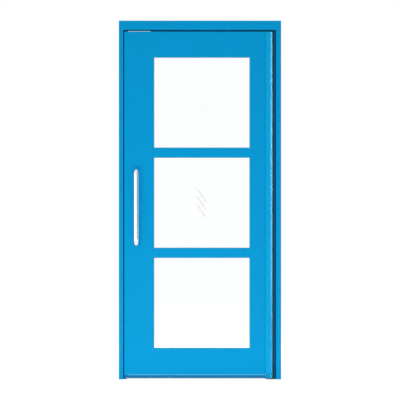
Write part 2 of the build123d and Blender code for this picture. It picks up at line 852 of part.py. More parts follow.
def make_handle_sleeves():
    """Spacer tubes that keep the stile from being crushed by the handle bolts."""
    sleeves = []
    for height in (handle_low, handle_high):
        length = leaf_thickness - 2 * leaf_wall
        sleeve = rod(handle_x, leaf_wall, height, length, sleeve_diameter, (0, 1, 0))
        sleeve -= rod(handle_x, 0, height, leaf_thickness, handle_bolt_diameter + 2 * screw_slack, (0, 1, 0))
        sleeves.append(sleeve)
    return sleeves


def guide_pin_places():
    """X of the two guide pins of the armature."""
    return (armature_mid - guide_pin_spacing / 2, armature_mid + guide_pin_spacing / 2)


def make_armature_housing():
    """Tray let into the top of the lock stile, in which the armature floats."""
    tray = block(leaf_left + leaf_wall + joint_gap, rail_left - leaf_wall - joint_gap,
                 leaf_wall + joint_gap, leaf_thickness - leaf_wall - joint_gap, housing_bottom, leaf_top)
    half = armature_length / 2 + armature_clearance
    wide = armature_width / 2 + armature_clearance
    floor = housing_bottom + housing_floor
    tray -= block(armature_mid - half, armature_mid + half, pivot_y - wide, pivot_y + wide, floor,
                  leaf_top + past)
    for x in guide_pin_places():
        tray -= rod(x, pivot_y, housing_bottom - past, housing_floor + 2 * past,
                    guide_pin_diameter + 2 * running_clearance, (0, 0, 1))
    return tray


def make_armature_guides():
    """Pins with rubber-sprung collars on which the armature slides up."""
    floor = housing_bottom + housing_floor
    collar_height = housing_buffer - lift_clearance
    pins = []
    for x in guide_pin_places():
        pin = rod(x, pivot_y, housing_bottom, leaf_top - housing_bottom, guide_pin_diameter, (0, 0, 1))
        pin += rod(x, pivot_y, floor, collar_height, 2 * guide_pin_diameter, (0, 0, 1))
        pins.append(pin)
    return pins


def make_armature_plate():
    """Steel plate that the magnet lifts and holds."""
    bottom = armature_top - armature_thickness
    section = RectangleRounded(armature_length, armature_width, armature_corner)
    plate = extrude(Pos(armature_mid, pivot_y, bottom) * section, armature_thickness)
    deep = leaf_top - bottom + lift_clearance
    bore = guide_pin_diameter + 2 * running_clearance
    for x in guide_pin_places():
        plate -= rod(x, pivot_y, bottom - past, deep + past, bore, (0, 0, 1))
    return plate


def make_lock_magnet():
    """Magnet flush with the underside of the head, with an ear at each end."""
    half = armature_length / 2 + magnet_margin
    wide = armature_width / 2
    base = head_under + frame_wall
    magnet = block(armature_mid - half, armature_mid + half, pivot_y - wide, pivot_y + wide,
                   head_under, head_under + magnet_height)
    magnet += block(armature_mid - half - magnet_ear, armature_mid + half + magnet_ear,
                    pivot_y - wide / 2, pivot_y + wide / 2, base, base + magnet_ear_thickness)
    for x, y in magnet_screw_places():
        magnet -= rod(x, y, base - past, magnet_ear_thickness + 2 * past, screw_diameter + 2 * screw_slack,
                      (0, 0, 1))
    return magnet


def make_cable_grommet():
    """Rubber grommet in the top of the head for the cable of the magnet."""
    top = overall_height
    under = top - frame_wall
    body = rod(armature_mid, pivot_y, under - grommet_flange_thickness, frame_wall + grommet_flange_thickness,
               cable_hole_diameter - 2 * seal_slack, (0, 0, 1))
    body += rod(armature_mid, pivot_y, under - grommet_flange_thickness, grommet_flange_thickness,
                grommet_flange, (0, 0, 1))
    low = under - grommet_flange_thickness - past
    return body - rod(armature_mid, pivot_y, low, top + past - low, grommet_bore, (0, 0, 1))


def make_closer_body():
    """Closer housing that lies in the head, with a bearing for its spindle."""
    right = pivot_x + closer_past_pivot
    mid = right - closer_length / 2
    base = head_under + frame_wall
    section = RectangleRounded(closer_length, closer_width, closer_corner)
    body = extrude(Pos(mid, pivot_y, base) * section, closer_height)
    body = chamfer(body.faces().sort_by(Axis.Z)[-1].edges(), closer_bevel)
    bearing = spindle_diameter + 2 * running_clearance
    body -= rod(pivot_x, pivot_y, base - past, past + spindle_grip + spindle_end_gap, bearing, (0, 0, 1))
    for x, y in closer_screw_places():
        body -= rod(x, y, base - past, screw_length, screw_diameter + 2 * screw_slack, (0, 0, 1))
    return body


def make_closer_spindle():
    """Spindle of the closer, round above and square where it turns the leaf."""
    base = head_under + frame_wall
    shoulder = leaf_top + spindle_shoulder_gap
    spindle = rod(pivot_x, pivot_y, shoulder, base + spindle_grip - shoulder, spindle_diameter, (0, 0, 1))
    square = Pos(pivot_x, pivot_y, top_arm_bottom()) * Rectangle(spindle_square, spindle_square)
    return spindle + extrude(square, shoulder - top_arm_bottom())


def top_arm_bottom():
    """Height of the underside of the top pivot arm."""
    return leaf_top - pivot_arm_recess - pivot_arm_thickness


def arm_screw_places():
    """Screws through the back of the hinge stile into the pivot arm and the shoe."""
    heights = (top_arm_bottom() + pivot_arm_thickness / 2, nose_bottom + shoe_thickness / 2)
    span = stile_in_right - stile_in_left
    return [(stile_in_left + share * span, z) for z in heights for share in arm_screw_shares]


def make_pivot_arm(z0, thickness, end_radius):
    """Block in the hinge stile with a neck that reaches the pivot axis inside the nose."""
    front = leaf_wall + joint_gap
    back = leaf_thickness - front
    start = stile_in_left + joint_gap
    arm = block(start, stile_in_right - pivot_arm_clearance, front, back, z0, z0 + thickness)
    half = pivot_arm_width / 2
    arm += block(stile_in_right - past, pivot_x, pivot_y - half, pivot_y + half, z0, z0 + thickness)
    arm += rod(pivot_x, pivot_y, z0, thickness, 2 * end_radius, (0, 0, 1))
    for x, z in arm_screw_places():
        arm -= rod(x, leaf_thickness, z, screw_length + screw_end_gap, screw_diameter + 2 * screw_slack,
                   (0, -1, 0))
    return arm


def make_top_pivot_arm():
    """Arm with a square socket that the closer spindle turns."""
    arm = make_pivot_arm(top_arm_bottom(), pivot_arm_thickness, top_arm_end_radius)
    side = spindle_square + 2 * socket_clearance
    socket = Pos(pivot_x, pivot_y, top_arm_bottom() - past) * Rectangle(side, side)
    return arm - extrude(socket, pivot_arm_thickness + 2 * past)


def foot_outline(inset):
    """Flat sides and a half-round end, like the nose above the foot."""
    return half_round(pivot_x - foot_left + inset, inset)


def make_bottom_pivot_shoe():
    """Casting bored for the pivot bush, with a foot under the nose that hides the pivot."""
    shoe = make_pivot_arm(nose_bottom, shoe_thickness, shoe_end_radius)
    bore = pin_diameter + 2 * bush_wall + 2 * running_clearance
    foot_top = boss_height - foot_top_drop
    foot = upright(foot_outline(0), bracket_plate + bearing_gap, foot_top)
    foot = fillet(foot.faces().sort_by(Axis.Z)[0].edges(), foot_toe_radius)
    foot += upright(foot_outline(foot_neck_inset), foot_top, nose_bottom)
    foot -= rod(pivot_x, pivot_y, 0, nose_bottom, boss_diameter + 2 * bearing_gap, (0, 0, 1))
    return shoe + foot - rod(pivot_x, pivot_y, 0, nose_bottom + shoe_thickness - shoe_roof, bore, (0, 0, 1))


def make_arm_screws():
    """Countersunk screws that hold the pivot arm and the shoe in the hinge stile."""
    return [make_screw(x, leaf_thickness, z, (0, -1, 0), True) for x, z in arm_screw_places()]


def make_pivot_bush():
    """Flanged bush that turns on the pivot pin."""
    height = shoe_thickness - shoe_roof - bush_end_gap
    bush = rod(pivot_x, pivot_y, nose_bottom, height, pin_diameter + 2 * bush_wall, (0, 0, 1))
    bush += rod(pivot_x, pivot_y, nose_bottom - bush_flange, bush_flange, bush_flange_diameter, (0, 0, 1))
    bore = pin_diameter + 2 * running_clearance
    low = nose_bottom - bush_flange - past
    return bush - rod(pivot_x, pivot_y, low, height + bush_flange + 2 * past, bore, (0, 0, 1))


def pin_seat():
    """Depth at which the pivot pin stands in its boss."""
    return 2 * bracket_plate


def make_pivot_pin():
    """Pivot pin with a rounded tip."""
    top = nose_bottom + shoe_thickness - shoe_roof - pin_end_gap
    pin = rod(pivot_x, pivot_y, pin_seat(), top - pin_seat(), pin_diameter, (0, 0, 1))
    return chamfer(pin.faces().sort_by(Axis.Z)[-1].edges(), pin_tip)


def make_pivot_bracket():
    """Floor plate held in the foot of the hinge jamb, with a boss under the nose."""
    tail_front = pivot_y - bracket_tail_width / 2
    tail_start = hinge_jamb_in + frame_wall + joint_gap
    tail_end = frame_right - frame_wall - joint_gap
    arm_back = bracket_arm_front + bracket_arm_width
    bracket = rod(pivot_x, pivot_y, 0, bracket_plate, 2 * bracket_plate_radius, (0, 0, 1))
    bracket += rod(pivot_x, pivot_y, 0, boss_height, boss_diameter, (0, 0, 1))
    bracket += block(pivot_x, tail_end, bracket_arm_front, arm_back, 0, bracket_plate)
    tail_back = tail_front + bracket_tail_width
    bracket += block(tail_start, tail_end, tail_front, tail_back, 0, bracket_tail_height)
    bracket -= rod(pivot_x, pivot_y, pin_seat(), boss_height, pin_diameter + 2 * running_clearance, (0, 0, 1))
    for depth in bracket_screw_depths():
        bracket -= rod(frame_right, depth, bracket_screw_height(), screw_length + screw_end_gap,
                       screw_diameter + 2 * screw_slack, (-1, 0, 0))
    return bracket


def brush_ends():
    """Left and right end of the brush and its holder."""
    return leaf_left + brush_end_gap, pivot_x - foot_left - brush_to_foot


def make_brush_carrier():
    """U-shaped holder that grips the back of the brush, with a lip up the front of the leaf."""
    bottom = leaf_bottom - brush_holder_height
    left, right = brush_ends()
    carrier = block(left, right, brush_front, brush_front + brush_holder_width, bottom, leaf_bottom)
    slot_front = brush_front + (brush_holder_width - brush_width) / 2 - joint_gap
    slot_back = slot_front + brush_width + 2 * joint_gap
    carrier -= block(left - past, right + past, slot_front, slot_back, bottom - past,
                     leaf_bottom - brush_holder_wall)
    lip_left = left + brush_lip_insets[0]
    lip_right = right - brush_lip_insets[1]
    lip_front = -brush_lip_thickness
    under = leaf_bottom - brush_lip_thickness
    carrier += block(lip_left, lip_right, lip_front, brush_front, under, leaf_bottom)
    return carrier + block(lip_left, lip_right, lip_front, 0, under, leaf_bottom + brush_lip_height)


def make_bottom_brush():
    """Brush that sweeps just above the floor."""
    left, right = brush_ends()
    front = brush_front + (brush_holder_width - brush_width) / 2
    return block(left, right, front, front + brush_width, brush_floor_gap,
                 leaf_bottom - brush_holder_wall - joint_gap)


def build_nodes():
    """Every piece of the door under its own name."""
    nodes = {
        "lock_jamb": make_lock_jamb(),
        "hinge_jamb": make_hinge_jamb(),
        "head": make_head(),
        "corner_brackets": make_corner_brackets(),
        "frame_screws": make_corner_screws(),
        "head_screws": make_head_screws(),
        "lock_jamb_gasket": make_lock_jamb_gasket(),
        "head_gasket": make_head_gasket(),
        "hinge_jamb_gasket": make_hinge_jamb_gasket(),
        "hinge_gap_seal": make_hinge_gap_seal(),
        "pivot_bracket": make_pivot_bracket(),
        "pivot_pin": make_pivot_pin(),
        "closer_body": make_closer_body(),
        "lock_magnet": make_lock_magnet(),
        "cable_grommet": make_cable_grommet(),
        "lock_stile": make_lock_stile(),
        "hinge_stile": make_hinge_stile(),
        "nose_profile": make_nose_profile(),
        "top_rail": make_top_rail(),
        "upper_glazing_bar": make_bar(1),
        "lower_glazing_bar": make_bar(0),
        "bottom_rail": make_bottom_rail(),
        "rail_spigots": make_rail_spigots(),
        "setting_blocks": make_setting_blocks(),
        "pull_handle": make_pull_handle(),
        "handle_bolts": make_handle_bolts(),
        "handle_sleeves": make_handle_sleeves(),
        "armature_housing": make_armature_housing(),
        "armature_guides": make_armature_guides(),
        "armature_plate": make_armature_plate(),
        "top_pivot_arm": make_top_pivot_arm(),
        "bottom_pivot_shoe": make_bottom_pivot_shoe(),
        "pivot_arm_screws": make_arm_screws(),
        "pivot_bush": make_pivot_bush(),
        "closer_spindle": make_closer_spindle(),
        "brush_carrier": make_brush_carrier(),
        "bottom_brush": make_bottom_brush(),
    }
    for index, name in enumerate(("lower", "middle", "upper")):
        nodes[f"{name}_glass"] = make_glass(index)
        nodes[f"{name}_outer_gasket"] = make_outer_gasket(index)
        nodes[f"{name}_inner_gasket"] = make_inner_gasket(index)
        for side, bead in make_beads(index).items():
            nodes[f"{name}_{side}_bead"] = bead
    return nodes


def main():
    """Write one STEP file for each piece."""
    os.makedirs("parts", exist_ok=True)
    for name, shape in build_nodes().items():
        solids = shape if isinstance(shape, list) else [shape]
        whole = Compound(children=[s for piece in solids for s in piece.solids()])
        export_step(whole, f"parts/{name}.step")
    pane_width = sight_right - sight_left
    print(f"armature travel {armature_travel:.2f} mm, pane {pane_width:.1f} by {pane_height:.1f} mm")


if __name__ == "__main__":
    main()
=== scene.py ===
"""Entrance door: finishes and close-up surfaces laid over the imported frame.

Every length in the size fields is in millimetres unless its name says otherwise, and meshes are in metres.
X runs across the doorway, +Y goes in through it and +Z is up, as in the frame.
"""

from __future__ import annotations

import json
import logging
import math
from abc import ABC, abstractmethod
from dataclasses import dataclass, field, replace
from enum import Enum

import bpy
import numpy as np
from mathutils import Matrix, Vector

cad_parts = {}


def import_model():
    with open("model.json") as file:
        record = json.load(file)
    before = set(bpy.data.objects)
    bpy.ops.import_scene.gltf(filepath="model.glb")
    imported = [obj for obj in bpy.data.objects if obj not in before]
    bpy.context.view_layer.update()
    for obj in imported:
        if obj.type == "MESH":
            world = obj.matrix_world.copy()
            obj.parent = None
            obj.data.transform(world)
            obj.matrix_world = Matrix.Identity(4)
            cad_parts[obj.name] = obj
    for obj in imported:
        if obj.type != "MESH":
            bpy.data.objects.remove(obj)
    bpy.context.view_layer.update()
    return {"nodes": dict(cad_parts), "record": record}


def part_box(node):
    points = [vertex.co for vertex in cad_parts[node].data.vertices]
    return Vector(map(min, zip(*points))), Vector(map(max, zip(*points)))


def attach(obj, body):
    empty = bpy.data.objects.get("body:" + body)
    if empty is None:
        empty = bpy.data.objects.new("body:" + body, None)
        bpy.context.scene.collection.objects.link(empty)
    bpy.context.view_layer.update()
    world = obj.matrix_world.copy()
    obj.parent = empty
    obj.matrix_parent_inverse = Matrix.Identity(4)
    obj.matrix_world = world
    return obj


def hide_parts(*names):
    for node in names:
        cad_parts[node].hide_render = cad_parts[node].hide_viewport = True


LOG = logging.getLogger("entrance_door")
MM = 0.001
X_AXIS, Y_AXIS, Z_AXIS = np.eye(3)
WHITE = "#FFFFFF"
# A Mix node's colour sockets share their names with its other sockets, so they are taken by number.
MIX_A, MIX_B, MIX_RESULT = 6, 7, 2
# The middle of a noise's range, which Map Range nodes spread over a range of roughness.
NOISE_MIDDLE = {"From Min": 0.3, "From Max": 0.7}
# Keeps the two arcs of a half circle from ending in the same point, in millimetres.
HAIR = 0.001

Array = np.ndarray
Triple = tuple[float, float, float]
Piece = bpy.types.Object
Tree = bpy.types.NodeTree
Socket = bpy.types.NodeSocket
Inputs = dict[str | int, object]


class Body(Enum):
    """Rigid bodies of the frame that a new piece rides on."""

    FRAME = "frame"
    LEAF = "leaf"


class Grain(Enum):
    """Direction in which a metal was brushed or drawn, as stretch factors along X, Y and Z."""

    ALONG_X = (0.04, 1.0, 1.0)
    ALONG_Z = (1.0, 1.0, 0.04)
    NONE = (1.0, 1.0, 1.0)


# Colour and nodes


def linear(hex_colour: str) -> tuple[float, float, float, float]:
    """Turn an sRGB hex colour into the linear colour that a shader socket takes.

    Args:
        hex_colour: Colour such as "#0A99D4".

    Returns:
        Linear red, green and blue, and an alpha of 1.
    """
    channels = np.array([int(hex_colour[i : i + 2], 16) for i in (1, 3, 5)]) / 255.0
    curve = ((channels + 0.055) / 1.055) ** 2.4
    red, green, blue = np.where(channels <= 0.04045, channels / 12.92, curve)
    return float(red), float(green), float(blue), 1.0


def add_node(
    tree: Tree,
    kind: str,
    settings: dict[str, object] | None = None,
    inputs: Inputs | None = None,
) -> bpy.types.Node:
    """Add one node, set its properties, and set or link its inputs.

    Args:
        tree: Node tree that gets the node.
        kind: Blender's type name of the node, without its "ShaderNode".
        settings: Properties of the node.
        inputs: Values for its inputs; an output socket is linked and anything else is set.

    Returns:
        The new node.
    """
    node = tree.nodes.new(f"ShaderNode{kind}")
    for name, value in (settings or {}).items():
        setattr(node, name, value)
    for name, value in (inputs or {}).items():
        if isinstance(value, Socket):
            tree.links.new(value, node.inputs[name])
        else:
            node.inputs[name].default_value = value
    return node


def ray_is_seen(tree: Tree) -> Socket:
    """Add the nodes that tell rays of the camera, of gloss and through glass from rays that only light.

    Args:
        tree: Node tree that gets the nodes.

    Returns:
        1 for a ray of one of the three kinds, and 0 for any other.
    """
    path = add_node(tree, "LightPath").outputs
    seen = path["Is Camera Ray"]
    for kind in ("Is Glossy Ray", "Is Transmission Ray"):
        either = add_node(tree, "Math", {"operation": "MAXIMUM"}, {0: seen, 1: path[kind]})
        seen = either.outputs[0]
    return seen


# Finishes


@dataclass(frozen=True)
class Finish(ABC):
    """How a real surface is drawn. A subclass adds its pattern and says what its main shader takes."""

    @abstractmethod
    def inputs(self, tree: Tree) -> Inputs:
        """Add the pattern's nodes.

        Args:
            tree: Node tree of the material.

        Returns:
            Inputs of the main shader.
        """

    def patterned(
        self,
        tree: Tree,
        stain: Socket,
        tones: tuple[str, str],
        wear: Socket,
        roughness: tuple[float, float],
        relief: Socket,
        relief_mm: float,
    ) -> Inputs:
        """Add the nodes that turn noises into colour, roughness and relief.

        The colour goes from the first tone to the second as the stain goes from 0 to 1, the roughness from
        its first value to its second over the middle of the wear's range, and the normal follows the relief.

        Args:
            tree: Node tree of the material.
            stain: Noise that the colour follows.
            tones: The two colours.
            wear: Noise that the roughness follows.
            roughness: Its two values.
            relief: Height from 0 to 1.
            relief_mm: Real height that 1 stands for.

        Returns:
            The main shader's colour, roughness and normal.
        """
        colour = add_node(
            tree,
            "Mix",
            {"data_type": "RGBA"},
            {"Factor": stain, MIX_A: linear(tones[0]), MIX_B: linear(tones[1])},
        )
        rough = add_node(
            tree,
            "MapRange",
            inputs={"Value": wear, **NOISE_MIDDLE, "To Min": roughness[0], "To Max": roughness[1]},
        )
        bump = add_node(tree, "Bump", inputs={"Strength": 1.0, "Distance": relief_mm * MM, "Height": relief})
        return {
            "Base Color": colour.outputs[MIX_RESULT],
            "Roughness": rough.outputs["Result"],
            "Normal": bump.outputs["Normal"],
        }

    def surface(self, tree: Tree) -> Socket:
        """Main shader with the inputs of this finish."""
        return add_node(tree, "BsdfPrincipled", inputs=self.inputs(tree)).outputs[0]

    def make(self, name: str) -> bpy.types.Material:
        """Build the material.

        Args:
            name: Name of the real surface.

        Returns:
            The material.
        """
        material = bpy.data.materials.new(name)
        material.use_nodes = True
        tree = material.node_tree
        tree.nodes.clear()
        add_node(tree, "OutputMaterial", inputs={"Surface": self.surface(tree)})
        return material


@dataclass(frozen=True)
class PowderCoat(Finish):
    """Polyester powder coat, sprayed dry and baked: an even satin colour over a faint orange peel.

    The peel's real lumps are 1 to 2 mm wide, too fine to show, so they are drawn 5 mm wide. A broad, weak
    unevenness of colour and gloss keeps the large flat faces from looking like plastic film. The photo's
    highlights on the coat are light cyan, so its gloss is tinted.
    """

    colour: str = "#0094D2"
    shade: str = "#0091CE"
    roughness: float = 0.36
    gloss: float = 0.45
    gloss_tint: str = "#60FFE8"
    unevenness: float = 0.03
    cloud_mm: float = 260.0
    peel_mm: float = 5.0
    peel_height_mm: float = 0.02
    grit_mm: float = 0.9
    grit_share: float = 0.25

    def inputs(self, tree: Tree) -> Inputs:
        """Clouds in colour and roughness, and a relief of peel with a share of grit.

        Args:
            tree: Node tree of the material.

        Returns:
            Inputs of the main shader.
        """
        place = add_node(tree, "TexCoord").outputs["Object"]
        cloud, peel, grit = (
            add_node(
                tree, "TexNoise", inputs={"Vector": place, "Scale": 1.0 / (size * MM), "Detail": detail}
            ).outputs["Fac"]
            for size, detail in ((self.cloud_mm, 2.0), (self.peel_mm, 2.0), (self.grit_mm, 1.0))
        )
        relief = add_node(
            tree, "Math", {"operation": "MULTIPLY_ADD"}, {0: grit, 1: self.grit_share, 2: peel}
        )
        rough = self.roughness - self.unevenness, self.roughness + self.unevenness
        return {
            **self.patterned(
                tree, cloud, (self.shade, self.colour), cloud, rough, relief.outputs[0], self.peel_height_mm
            ),
            "IOR": 1.5,
            "Specular IOR Level": self.gloss,
            "Specular Tint": linear(self.gloss_tint),
        }


@dataclass(frozen=True)
class DrawnMetal(Finish):
    """Bare metal that was drawn, ground or plated: fine parallel lines that stretch its highlights.

    Real grinding lines are about 0.1 mm apart. They are drawn at line_mm, which still shows in a close view.
    Below a set height the metal can take a second, darker colour: a painted shadow.
    """

    dark: str
    light: str
    roughness: float
    grain: Grain
    unevenness: float = 0.2
    line_mm: float = 0.8
    line_depth_mm: float = 0.004
    stain_mm: float = 40.0
    anisotropy: float = 0.0
    # Darker colour of the painted shadow, and the height below which it is painted.
    below: str = ""
    painted_shadow_below_mm: float = 0.0

    def inputs(self, tree: Tree) -> Inputs:
        """Stains in colour, and lines along the grain in roughness and relief.

        Args:
            tree: Node tree of the material.

        Returns:
            Inputs of the main shader.
        """
        place = add_node(tree, "TexCoord").outputs["Object"]
        drawn = add_node(tree, "Mapping", inputs={"Vector": place, "Scale": self.grain.value})
        lines, stain = (
            add_node(
                tree, "TexNoise", inputs={"Vector": vector, "Scale": 1.0 / (size * MM), "Detail": 3.0}
            ).outputs["Fac"]
            for vector, size in ((drawn.outputs["Vector"], self.line_mm), (place, self.stain_mm))
        )
        rough = self.roughness * (1.0 - self.unevenness), self.roughness * (1.0 + self.unevenness)
        given = self.patterned(tree, stain, (self.dark, self.light), lines, rough, lines, self.line_depth_mm)
        # Painted shadow: below the set height the colour is the darker one.
        if self.below:
            height = add_node(tree, "SeparateXYZ", inputs={0: place}).outputs["Z"]
            above = add_node(tree, "Math", {"operation": "GREATER_THAN"}, {0: height, 1: self.painted_shadow_below_mm * MM})
            colour = add_node(
                tree,
                "Mix",
                {"data_type": "RGBA"},
                {"Factor": above.outputs[0], MIX_A: linear(self.below), MIX_B: given["Base Color"]},
            )
            given["Base Color"] = colour.outputs[MIX_RESULT]
        return {**given, "Metallic": 1.0, "Anisotropic": self.anisotropy}


@dataclass(frozen=True)
class MouldedPolymer(Finish):
    """Extruded rubber or moulded plastic: a dull skin with fine speckle from the die or mould."""

    dark: str
    light: str
    roughness: float
    gloss: float = 0.5
    unevenness: float = 0.05
    speckle_mm: float = 0.7
    speckle_depth_mm: float = 0.02
    bloom_mm: float = 60.0

    def inputs(self, tree: Tree) -> Inputs:
        """Bloom in colour, and speckle in roughness and relief.

        Args:
            tree: Node tree of the material.

        Returns:
            Inputs of the main shader.
        """
        place = add_node(tree, "TexCoord").outputs["Object"]
        speckle, bloom = (
            add_node(
                tree, "TexNoise", inputs={"Vector": place, "Scale": 1.0 / (size * MM), "Detail": detail}
            ).outputs["Fac"]
            for size, detail in ((self.speckle_mm, 2.0), (self.bloom_mm, 3.0))
        )
        rough = self.roughness - self.unevenness, self.roughness + self.unevenness
        return {
            **self.patterned(
                tree, bloom, (self.dark, self.light), speckle, rough, speckle, self.speckle_depth_mm
            ),
            "IOR": 1.5,
            "Specular IOR Level": self.gloss,
        }


@dataclass(frozen=True)
class BrushFibre(Finish):
    """Crimped nylon filament: each one a little lighter or darker, with a soft sheen along its length."""

    dark: str = "#1F78A0"
    light: str = "#40B6E6"
    roughness: float = 0.5
    shade_attribute: str = "filament"

    def inputs(self, tree: Tree) -> Inputs:
        """One shade for each filament, from the piece's own attribute.

        Args:
            tree: Node tree of the material.

        Returns:
            Inputs of the main shader.
        """
        shade = add_node(tree, "Attribute", {"attribute_name": self.shade_attribute})
        colour = add_node(
            tree,
            "Mix",
            {"data_type": "RGBA"},
            {"Factor": shade.outputs["Fac"], MIX_A: linear(self.dark), MIX_B: linear(self.light)},
        )
        return {
            "Base Color": colour.outputs[MIX_RESULT],
            "Roughness": self.roughness,
            "IOR": 1.53,
            "Sheen Weight": 0.2,
        }


@dataclass(frozen=True)
class PaintedReflectionStroke:
    """Short slanted painted reflection on a pane, given by the two ends of its middle line and its width."""

    x0: float
    z0: float
    x1: float
    z1: float
    width: float = 11.0

    def lowered(self, drop: float) -> PaintedReflectionStroke:
        """The same stroke further down."""
        return replace(self, z0=self.z0 - drop, z1=self.z1 - drop)

    def mask(self, tree: Tree, place: Socket) -> Socket:
        """Add the nodes that find the stroke.

        A point is on it where its offset from the middle is under half the length along the stroke, and
        under half the width across it.

        Args:
            tree: Node tree of the material.
            place: Object coordinates.

        Returns:
            1 on the stroke and 0 beside it.
        """
        run, rise = self.x1 - self.x0, self.z1 - self.z0
        length = math.hypot(run, rise)
        along, across = Vector((run, 0.0, rise)) / length, Vector((rise, 0.0, -run)) / length
        middle = Vector((self.x0 + self.x1, 0.0, self.z0 + self.z1)) / 2 * MM
        offset = add_node(tree, "VectorMath", {"operation": "SUBTRACT"}, {0: place, 1: middle})
        bands = []
        for direction, extent in ((along, length), (across, self.width)):
            dot = add_node(
                tree, "VectorMath", {"operation": "DOT_PRODUCT"}, {0: offset.outputs[0], 1: direction}
            )
            size = add_node(tree, "Math", {"operation": "ABSOLUTE"}, {0: dot.outputs["Value"]})
            inside = add_node(
                tree, "Math", {"operation": "LESS_THAN"}, {0: size.outputs[0], 1: extent / 2 * MM}
            )
            bands.append(inside.outputs[0])
        both = add_node(tree, "Math", {"operation": "MULTIPLY"}, {0: bands[0], 1: bands[1]})
        return both.outputs[0]


@dataclass(frozen=True)
class LaminatedGlass(Finish):
    """Clear laminated glass: no colour face on, and on a marked pane a grey matt tone in its strokes, which
    is painted reflection.
    """

    tint: str = "#FDFEFF"
    painted_reflection_tone: str = "#C9CDD2"
    painted_reflection_roughness: float = 0.6
    painted_reflection_share: float = 0.0
    strokes: tuple[PaintedReflectionStroke, ...] = ()

    def inputs(self, tree: Tree) -> Inputs:
        """Plain clear glass."""
        return {"Base Color": linear(self.tint), "Roughness": 0.0, "IOR": 1.5, "Transmission Weight": 1.0}

    def surface(self, tree: Tree) -> Socket:
        """Glass, with its share of the painted reflection's grey matt tone mixed in on the strokes.

        Args:
            tree: Node tree of the material.

        Returns:
            The shader output.
        """
        clear = super().surface(tree)
        if not self.strokes:
            return clear
        place = add_node(tree, "TexCoord").outputs["Object"]
        marked, *others = (stroke.mask(tree, place) for stroke in self.strokes)
        for other in others:
            joined = add_node(tree, "Math", {"operation": "MAXIMUM"}, {0: marked, 1: other})
            marked = joined.outputs[0]
        share = add_node(tree, "Math", {"operation": "MULTIPLY"}, {0: marked, 1: self.painted_reflection_share})
        painted_reflection_tone = add_node(
            tree,
            "BsdfPrincipled",
            inputs={"Base Color": linear(self.painted_reflection_tone), "Roughness": self.painted_reflection_roughness},
        )
        mixed = add_node(tree, "MixShader", inputs={0: share.outputs[0], 1: clear, 2: painted_reflection_tone.outputs[0]})
        return mixed.outputs[0]


@dataclass(frozen=True)
class PaleFloor(Finish):
    """Matt painted floor that partly glows where it is seen, so that it blends with the background."""

    tone: str = "#F4F4F4"
    roughness: float = 0.9
    glow: float = 1.5
    glow_share: float = 0.5

    def inputs(self, tree: Tree) -> Inputs:
        """Plain matt paint."""
        return {"Base Color": linear(self.tone), "Roughness": self.roughness}

    def surface(self, tree: Tree) -> Socket:
        """Paint, with its share of glow mixed in for rays that are seen.

        Args:
            tree: Node tree of the material.

        Returns:
            The shader output.
        """
        matt = super().surface(tree)
        glow = add_node(tree, "Emission", inputs={"Color": linear(WHITE), "Strength": self.glow})
        share = add_node(tree, "Math", {"operation": "MULTIPLY"}, {0: ray_is_seen(tree), 1: self.glow_share})
        mixed = add_node(tree, "MixShader", inputs={0: share.outputs[0], 1: matt, 2: glow.outputs[0]})
        return mixed.outputs[0]


